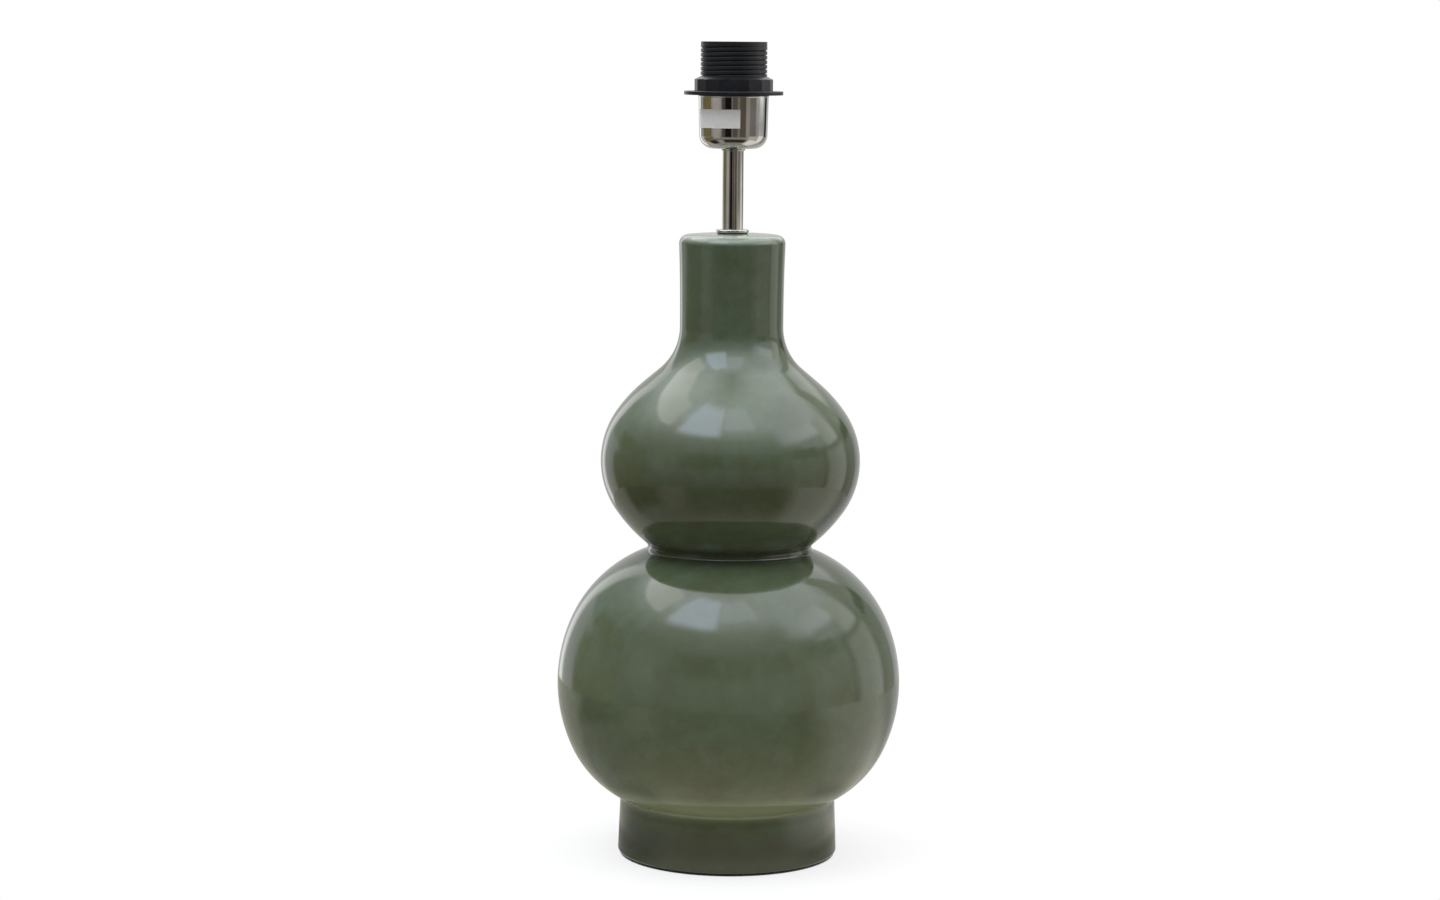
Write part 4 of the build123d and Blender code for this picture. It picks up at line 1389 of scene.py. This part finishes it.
        start, end = low + self.barrel_plain, rim_low + self.thread_overlap
        thread = threaded_bar("barrel_thread", self.barrel_pitch, start, end, ridge)
        core = drill((self.barrel_bore + root) / 2, (0, 0, start - CLEAR), (0, 0, end + CLEAR))
        return smooth(combine(barrel, combine(thread, core, Join.CUT), Join.ADD))

    def bulb_shell(self) -> bpy.types.Object:
        """Thin shell with the rolled inside thread for a bulb's cap.

        Returns:
            The piece.
        """
        low, high = self.shell_low, self.shell_high
        start, end = low + self.shell_plain[0], high - self.shell_plain[1]
        inner = self.shell_crest - self.shell_waste
        shell = ring("bulb_shell", inner, self.shell, low, high, self.shell_edge)

        def groove(share: float) -> float:
            """Rolled thread, as round at its crest as at its root."""
            rise = 0.5 - 0.5 * math.cos(math.tau * share)
            return self.shell_crest + (self.shell_root - self.shell_crest) * rise

        over = self.thread_overlap
        thread = threaded_bar("shell_thread", self.shell_pitch, start - over, end + over, groove)
        combine(shell, thread, Join.CUT)
        plain = self.shell_root + self.shell_play
        combine(shell, drill(plain, (0, 0, low - CLEAR), (0, 0, start)), Join.CUT)
        combine(shell, drill(plain, (0, 0, end), (0, 0, high + CLEAR)), Join.CUT)
        return smooth(shell)

    def build(self) -> None:
        """Builds and dresses the cup, its bush and label, the barrel and the shell."""
        for piece, finish, slot, node in (
            (self.cup(), CHROME, Slot.CHROME, "lampholder_cap"),
            (self.cup_bush(), CHROME, Slot.CHROME, "cap_bush"),
            (self.label(), PAPER, Slot.LABEL, "blank_label"),
            (self.barrel(), BLACK_PLASTIC, Slot.BLACK_PLASTIC, "lampholder_skirt"),
            (self.bulb_shell(), NICKEL, Slot.NICKEL, "screw_shell"),
        ):
            finish.dress(piece)
            settle(piece, Body.LAMP, slot, node)


@dataclass
class ShadeRing:
    """Black ring with a wide flange and a faceted collar, that screws along the barrel."""

    low: float = 457.2025
    high: float = 467.9025
    bore: float = 19.85
    collar: float = 23.25
    sides: int = 16
    slope_low: float = 466.4025
    slope_drop: float = 0.635
    rim: float = 20.25
    flange: float = 29.4
    flange_height: float = 2.3
    edge: float = 0.5
    spare: float = 1.0
    bore_waste: float = 3.0

    def build(self) -> None:
        """Builds and dresses the ring."""
        low, high, spare = self.low, self.high, self.spare
        inner, side, under = self.bore - self.bore_waste, self.collar + spare, low - spare
        prism_low = low + self.flange_height / 2
        collar = drill(self.collar, (0, 0, prism_low), (0, 0, high + spare), sides=self.sides)
        collar.name = "shade_collar"
        collar.data.name = "shade_collar"
        blank = Lathe("collar_blank", (inner, under))
        blank.line((side, under), (side, self.slope_low - self.slope_drop))
        blank.line((self.rim, high), (inner, high), (inner, under))
        combine(collar, blank.turned(), Join.COMMON)
        flange = ring("shade_flange", inner + spare, self.flange, low, low + self.flange_height, self.edge)
        combine(collar, flange, Join.ADD)
        combine(collar, drill(self.bore, (0, 0, low - CLEAR), (0, 0, high + CLEAR), sides=128), Join.CUT)
        smooth(collar, degrees=15.0)
        BLACK_PLASTIC.dress(collar)
        settle(collar, Body.SHADE_RING, Slot.BLACK_PLASTIC, "shade_ring")


@dataclass
class FramePieces:
    """CAD nodes whose shape is right as it is, with the finish of each."""

    finishes: tuple[tuple[Finish, tuple[str, ...]], ...] = (
        (ZINC, ("base_plate", "base_washer", "base_lock_washer", "base_nut", "threaded_rod")),
        (ZINC, ("cap_grub_screw", "terminal_screws")),
        (NYLON, ("rod_end_bush", "neck_bush")),
        (FOAM, ("base_cushion",)),
        (STEATITE, ("contact_block",)),
        (BRASS, ("centre_terminal", "side_terminal", "centre_contact")),
    )

    def dress(self, nodes: dict[str, bpy.types.Object]) -> None:
        """Dresses each node.

        Args:
            nodes: the frame's CAD objects by name.
        """
        for finish, names in self.finishes:
            finish.dress(*(nodes[name] for name in names))
            LOG.info("%s: %s", finish.name, ", ".join(names))


@dataclass(frozen=True)
class Panel:
    """Soft-edged patch of a surround: a window, a wall or a dark flag.

    Azimuth is in degrees, 0 at the front and 90 at the right. Reach is the elevation in degrees on the dome,
    and the distance from the lamp in metres on the floor.
    """

    name: str
    azimuth: Point
    reach: Point
    tone: str
    level: float
    soft: Point = (5.0, 5.0)


@dataclass(frozen=True)
class Surround:
    """Surroundings that only reflections see: greys that change over the reach, and panels on them.

    Edges are (radius, height) in metres, and greys are (reach, level).
    """

    name: str
    low_edge: Point
    high_edge: Point
    domed: bool
    greys: tuple[Point, ...]
    panels: tuple[Panel, ...]
    tone: str

    def within(
        self,
        tree: bpy.types.NodeTree,
        value: bpy.types.NodeSocket,
        span: Point,
        soft: float,
        turns: bool,
    ) -> bpy.types.NodeSocket:
        """Mask of a soft-edged band.

        Args:
            tree: the node tree.
            value: what the band is a range of.
            span: the band's two ends.
            soft: width of its soft edge.
            turns: whether the value is an angle that starts again after a whole turn.

        Returns:
            A socket that is 1 inside the band and 0 outside.
        """
        middle, half = (span[0] + span[1]) / 2, (span[1] - span[0]) / 2
        away = add_node(tree, "ShaderNodeMath", {0: value, 1: middle}, operation="SUBTRACT")
        if turns:
            away = add_node(tree, "ShaderNodeMath", {
                0: away.outputs["Value"], 1: 180.0, 2: -180.0,
            }, operation="WRAP")
        aside = add_node(tree, "ShaderNodeMath", {0: away.outputs["Value"]}, operation="ABSOLUTE")
        return add_node(tree, "ShaderNodeMapRange", {
            "Value": aside.outputs["Value"],
            "From Min": half - soft / 2,
            "From Max": half + soft / 2,
            "To Min": 1.0,
            "To Max": 0.0,
        }, interpolation_type="SMOOTHSTEP").outputs["Result"]

    def light(self, tree: bpy.types.NodeTree) -> bpy.types.NodeSocket:
        """Colour of the surround, with the panels laid on the greys one after another.

        Args:
            tree: the node tree.

        Returns:
            The colour's socket.
        """
        place = add_node(tree, "ShaderNodeTexCoord").outputs["Object"]
        axes = add_node(tree, "ShaderNodeSeparateXYZ", {"Vector": place}).outputs
        forward = add_node(tree, "ShaderNodeMath", {0: axes["Y"], 1: -1.0}, operation="MULTIPLY")
        turn = add_node(tree, "ShaderNodeMath", {
            0: axes["X"], 1: forward.outputs["Value"],
        }, operation="ARCTAN2")
        azimuth = add_node(tree, "ShaderNodeMath", {0: turn.outputs["Value"]}, operation="DEGREES")
        flat = add_node(tree, "ShaderNodeCombineXYZ", {"X": axes["X"], "Y": axes["Y"]})
        reach = add_node(tree, "ShaderNodeVectorMath", {0: flat.outputs["Vector"]}, operation="LENGTH")
        if self.domed:
            rise = add_node(tree, "ShaderNodeMath", {0: axes["Z"], 1: AIM_HEIGHT}, operation="SUBTRACT")
            slope = add_node(tree, "ShaderNodeMath", {
                0: rise.outputs["Value"], 1: reach.outputs["Value"],
            }, operation="ARCTAN2")
            reach = add_node(tree, "ShaderNodeMath", {0: slope.outputs["Value"]}, operation="DEGREES")
        colour = linear(self.tone, self.greys[0][1])
        for near, far in zip(self.greys, self.greys[1:]):
            share = add_node(tree, "ShaderNodeMapRange", {
                "Value": reach.outputs["Value"], "From Min": near[0], "From Max": far[0],
            })
            colour = add_node(tree, "ShaderNodeMix", {
                "Factor": share.outputs["Result"], MIX_A: colour, MIX_B: linear(self.tone, far[1]),
            }, data_type="RGBA").outputs[MIX_RESULT]
        for panel in self.panels:
            across = self.within(tree, azimuth.outputs["Value"], panel.azimuth, panel.soft[0], turns=True)
            along = self.within(tree, reach.outputs["Value"], panel.reach, panel.soft[1], turns=False)
            mask = add_node(tree, "ShaderNodeMath", {0: across, 1: along}, operation="MULTIPLY")
            colour = add_node(tree, "ShaderNodeMix", {
                "Factor": mask.outputs["Value"], MIX_A: colour, MIX_B: linear(panel.tone, panel.level),
            }, data_type="RGBA", label=panel.name).outputs[MIX_RESULT]
        return colour

    def hang(self) -> None:
        """Hangs the surround, out of the camera's sight and without light or shadow on the object."""
        edges = [(radius / MM, height / MM) for radius, height in (self.low_edge, self.high_edge)]
        outline = Lathe(self.name, edges[0])
        if self.domed:
            outline.arc((0.0, AIM_HEIGHT / MM), edges[1])
        else:
            outline.line(edges[1])
        sheet = outline.turned(steps=96)
        made = bare_material(self.name)
        made.cycles.emission_sampling = "NONE"
        tree = made.node_tree
        glow = add_node(tree, "ShaderNodeEmission", {"Color": self.light(tree), "Strength": 1.0})
        add_node(tree, "ShaderNodeOutputMaterial", {"Surface": glow.outputs["Emission"]})
        sheet.data.materials.append(made)
        sheet.visible_camera = False
        sheet.visible_diffuse = False
        sheet.visible_shadow = False


@dataclass(frozen=True)
class SoftBox:
    """Soft rectangular lamp that faces the object, in metres; azimuth 0 is the front and 90 the right."""

    name: str
    azimuth: float
    elevation: float
    distance: float
    size: Point
    radiance: float
    tone: str

    def hang(self) -> None:
        """Hangs the lamp, out of sight; its reflection is a panel of the dome."""
        light = bpy.data.lights.new(self.name, "AREA")
        light.shape = "RECTANGLE"
        light.size, light.size_y = self.size
        light.energy = self.radiance * math.pi * self.size[0] * self.size[1]
        light.color = linear(self.tone)[:3]
        holder = bpy.data.objects.new(self.name, light)
        bpy.context.scene.collection.objects.link(holder)
        azimuth, elevation = math.radians(self.azimuth), math.radians(self.elevation)
        flat = self.distance * math.cos(elevation)
        holder.location = (
            flat * math.sin(azimuth),
            -flat * math.cos(azimuth),
            AIM_HEIGHT + self.distance * math.sin(elevation),
        )
        holder.rotation_euler = (math.pi / 2 - elevation, 0.0, azimuth)
        holder.visible_camera = False
        holder.visible_glossy = False


@dataclass
class Studio:
    """White room with soft lamps, a pale floor, and the camera at the photograph's viewing angle.

    Lengths are in metres and angles in degrees.
    """

    camera_place: Place = (-0.0084, -2.002, 0.489)
    camera_pitch: float = 6.94
    camera_roll: float = -0.5
    lens_mm: float = 84.06
    sensor_mm: float = 36.0
    room: float = 0.6
    foot_reach: float = 0.065
    floor_radius: float = 12.0
    floor_sides: int = 128
    floor_tone: str = "#EDEDEB"
    shade_reach: Point = (0.06, 0.3)
    shade_share: Point = (0.75, 1.0)
    bounce_reach: Point = (0.16, 0.5)
    bounce_near_tone: str = "#E6DBC5"
    bounce_far_tone: str = "#5C5850"
    lamps: tuple[SoftBox, ...] = (
        SoftBox("window_lamp", -45.0, 60.0, 2.0, (1.1, 0.95), 4.6, "#DCE7FF"),
        SoftBox("ceiling_lamp", 0.0, 90.0, 2.3, (4.0, 4.0), 1.7, "#F6F8FF"),
        SoftBox("right_lamp", 80.0, 44.0, 2.4, (1.8, 1.4), 1.8, WHITE),
        SoftBox("left_lamp", -122.0, 54.0, 2.4, (1.4, 0.9), 2.2, WHITE),
    )
    dome: Surround = Surround(
        "dome",
        low_edge=(0.6538, 0.0),
        high_edge=(0.0, 0.95),
        domed=True,
        greys=(
            (-20.0, 0.22),
            (-5.0, 0.36),
            (5.0, 0.3),
            (15.0, 0.5),
            (25.0, 0.66),
            (34.0, 1.1),
            (45.0, 2.45),
            (55.0, 3.2),
            (76.0, 3.1),
            (90.0, 1.8),
        ),
        panels=(
            Panel("rear_top", (125.0, 235.0), (52.0, 70.0), "#F4F8FF", 2.2, (16.0, 8.0)),
            Panel("left_panel", (-152.0, -74.0), (43.8, 64.0), WHITE, 4.2, (8.0, 3.0)),
            Panel("window_top", (-72.0, -55.0), (54.0, 70.0), "#E6EEFF", 4.0, (8.0, 7.0)),
            Panel("window", (-60.0, -12.0), (41.0, 72.0), "#E0EAFF", 6.4, (9.0, 9.0)),
            Panel("second_pane", (-9.0, 30.0), (50.0, 72.0), "#ECF2FF", 4.4, (4.0, 8.0)),
            Panel("right_panel", (48.0, 113.0), (26.0, 62.0), "#F2F6FF", 3.0, (18.0, 14.0)),
            Panel("right_middle", (63.0, 98.0), (25.0, 40.0), "#F2F6FF", 3.8, (14.0, 9.0)),
            Panel("right_low", (66.0, 113.0), (16.0, 27.0), "#F6F8FF", 1.6, (14.0, 8.0)),
            Panel("right_edge_high", (96.0, 115.0), (14.5, 38.0), "#FCFCF8", 2.2, (8.0, 5.0)),
            Panel("right_edge_low", (92.0, 119.0), (-26.0, 11.0), "#FCFCF8", 1.22, (8.0, 6.0)),
            Panel("dark_edge", (122.0, 138.0), (-26.0, 16.0), "#F4F4EA", 0.42, (5.0, 8.0)),
            Panel("dark_edge_high", (123.0, 135.0), (14.0, 47.0), "#F4F4EA", 0.8, (5.0, 8.0)),
            Panel("rear_line", (125.0, 148.0), (8.5, 16.5), "#F4F4EA", 0.03, (5.0, 4.0)),
            Panel("rear_low", (140.0, 206.0), (-26.0, 24.0), WHITE, 0.68, (4.0, 12.0)),
            Panel("rear_high", (136.5, 206.0), (24.0, 48.0), WHITE, 1.75, (4.0, 10.0)),
            Panel("rear_dim", (166.0, 194.0), (4.0, 31.0), WHITE, 0.64, (6.0, 4.0)),
            Panel("rear_left", (-153.0, -140.0), (-26.0, 42.0), WHITE, 1.7, (6.0, 8.0)),
            Panel("left_edge_low", (-142.0, -114.0), (-26.0, 9.0), WHITE, 0.75, (8.0, 5.0)),
            Panel("olive_low_wall", (-121.0, -76.0), (-26.0, 3.0), "#F2E2A0", 0.26, (8.0, 6.0)),
            Panel("olive_wall", (-119.0, -78.0), (7.0, 18.0), "#F2E2A0", 0.26, (4.0, 6.0)),
            Panel("left_door", (-69.0, -47.0), (-5.0, 24.0), "#FFFBF4", 0.52, (5.0, 8.0)),
            Panel("brown_door", (-40.0, -25.0), (1.5, 18.5), "#FFE4D8", 0.12, (6.0, 9.0)),
            Panel("dark_door", (-28.0, -5.5), (1.5, 18.5), "#FFE4D8", 0.012, (6.0, 9.0)),
            Panel("front_wall", (-3.5, 42.0), (1.5, 18.5), "#FFF0DA", 0.13, (4.0, 9.0)),
            Panel("front_post", (13.5, 21.0), (1.5, 18.5), "#FFF0DA", 0.28, (4.0, 9.0)),
            Panel("right_wall", (43.0, 54.0), (-26.0, 18.0), "#FFF6E8", 0.4, (4.0, 4.0)),
            Panel("right_low_wall", (54.0, 88.0), (-26.0, 9.0), "#FFF8EE", 0.68, (8.0, 6.0)),
            Panel("right_door", (55.0, 80.0), (9.0, 18.0), "#FFF8EE", 0.24, (5.0, 4.0)),
        ),
        tone="#F6FAFF",
    )
    rug: Surround = Surround(
        "rug",
        low_edge=(0.0665, 0.002),
        high_edge=(0.6535, 0.002),
        domed=False,
        greys=(
            # Painted contact shadow: the floor's grey dips at the foot's edge, seen only in reflections.
            (0.0665, 0.75),
            (0.09, 0.95),
            (0.12, 0.74),
            (0.175, 0.52),
            (0.25, 0.2),
            (0.36, 0.04),
            (0.6, 0.04),
        ),
        panels=(
            Panel("rear_floor", (125.0, 220.0), (0.0, 2.0), WHITE, 0.6, (30.0, 0.1)),
            Panel("left_floor", (-128.0, -56.0), (0.0, 0.29), WHITE, 0.4, (40.0, 0.12)),
            Panel("left_edge_floor", (-170.0, -108.0), (0.1, 2.0), "#FFFBF0", 0.55, (14.0, 0.06)),
            Panel("left_front_floor", (-66.0, -40.0), (0.24, 2.0), "#FFFBF0", 0.45, (16.0, 0.1)),
            Panel("right_floor", (56.0, 120.0), (0.13, 2.0), "#FFFDF6", 1.12, (26.0, 0.1)),
            Panel("right_near_floor", (56.0, 140.0), (0.0, 0.105), "#FFFDF6", 0.45, (24.0, 0.03)),
            Panel("left_near_floor", (-140.0, -50.0), (0.0, 0.105), "#FFFDF6", 0.3, (24.0, 0.03)),
        ),
        tone="#FFF5E0",
    )

    def seen(self, tree: bpy.types.NodeTree) -> bpy.types.NodeSocket:
        """Whether the camera sees a point, directly or in a reflection or through glass.

        Args:
            tree: the node tree.

        Returns:
            A socket that is 1 if so, or else 0.
        """
        path = add_node(tree, "ShaderNodeLightPath").outputs
        direct = add_node(tree, "ShaderNodeMath", {
            0: path["Is Camera Ray"], 1: path["Is Glossy Ray"],
        }, operation="MAXIMUM")
        return add_node(tree, "ShaderNodeMath", {
            0: direct.outputs["Value"], 1: path["Is Transmission Ray"],
        }, operation="MAXIMUM").outputs["Value"]

    def floor(self) -> None:
        """Pale floor that keeps a faint shadow near the object and is white where it meets the background."""
        let_go()
        bpy.ops.mesh.primitive_circle_add(
            vertices=self.floor_sides, radius=self.floor_radius, fill_type="NGON"
        )
        sheet = bpy.context.object
        sheet.name = "floor"
        made = bare_material("pale_floor")
        tree = made.node_tree
        place = add_node(tree, "ShaderNodeTexCoord").outputs["Object"]
        away = add_node(tree, "ShaderNodeVectorMath", {0: place}, operation="LENGTH")
        share = add_node(tree, "ShaderNodeMapRange", {
            "Value": away.outputs["Value"],
            "From Min": self.shade_reach[0],
            "From Max": self.shade_reach[1],
            "To Min": self.shade_share[0],
            "To Max": self.shade_share[1],
        })
        outside = add_node(tree, "ShaderNodeMath", {
            0: away.outputs["Value"], 1: self.foot_reach,
        }, operation="GREATER_THAN")
        lit = add_node(tree, "ShaderNodeMath", {
            0: share.outputs["Result"], 1: outside.outputs["Value"],
        }, operation="MULTIPLY")
        pale = add_node(tree, "ShaderNodeBsdfDiffuse", {"Color": linear(self.floor_tone)})
        far = add_node(tree, "ShaderNodeMapRange", {
            "Value": away.outputs["Value"],
            "From Min": self.bounce_reach[0],
            "From Max": self.bounce_reach[1],
        })
        paint = add_node(tree, "ShaderNodeMix", {
            "Factor": far.outputs["Result"],
            MIX_A: linear(self.bounce_near_tone),
            MIX_B: linear(self.bounce_far_tone),
        }, data_type="RGBA")
        bounce = add_node(tree, "ShaderNodeBsdfDiffuse", {"Color": paint.outputs[MIX_RESULT]})
        white = add_node(tree, "ShaderNodeEmission", {"Color": linear(WHITE), "Strength": 1.0})
        shown = add_node(tree, "ShaderNodeMixShader", {
            0: lit.outputs["Value"], 1: pale.outputs["BSDF"], 2: white.outputs["Emission"],
        })
        mixed = add_node(tree, "ShaderNodeMixShader", {
            0: self.seen(tree), 1: bounce.outputs["BSDF"], 2: shown.outputs["Shader"],
        })
        add_node(tree, "ShaderNodeOutputMaterial", {"Surface": mixed.outputs["Shader"]})
        sheet.data.materials.append(made)

    def world(self) -> None:
        """White surroundings: white where they are seen, and a plain level of light on the object."""
        world = bpy.data.worlds.new("white_room")
        bpy.context.scene.world = world
        world.use_nodes = True
        tree = world.node_tree
        tree.nodes.clear()
        light = add_node(tree, "ShaderNodeBackground", {"Color": linear(WHITE), "Strength": self.room})
        white = add_node(tree, "ShaderNodeBackground", {"Color": linear(WHITE), "Strength": 1.0})
        mixed = add_node(tree, "ShaderNodeMixShader", {
            0: self.seen(tree), 1: light.outputs["Background"], 2: white.outputs["Background"],
        })
        add_node(tree, "ShaderNodeOutputWorld", {"Surface": mixed.outputs["Shader"]})

    def camera(self) -> None:
        """Camera as high as the lampholder's mouth, tipped down to the vessel and held a little askew."""
        data = bpy.data.cameras.new("camera")
        data.lens = self.lens_mm
        data.sensor_width = self.sensor_mm
        holder = bpy.data.objects.new("camera", data)
        bpy.context.scene.collection.objects.link(holder)
        holder.location = self.camera_place
        holder.rotation_euler = (math.radians(90.0 - self.camera_pitch), math.radians(self.camera_roll), 0.0)
        bpy.context.scene.camera = holder

    def build(self) -> None:
        """Sets up the room, the floor, the lamps, the surrounds and the camera."""
        bpy.context.scene.view_settings.view_transform = "Standard"
        self.world()
        self.floor()
        for thing in (*self.lamps, self.dome, self.rug):
            thing.hang()
        self.camera()


def main() -> None:
    """Builds the lamp around its frame and reports each piece."""
    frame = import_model()
    Vessel().build()
    Stem().build()
    Lampholder().build()
    ShadeRing().build()
    FramePieces().dress(frame["nodes"])
    Studio().build()


if __name__ == "__main__":
    logging.basicConfig(level=logging.INFO, format="%(name)s: %(message)s")
    main()
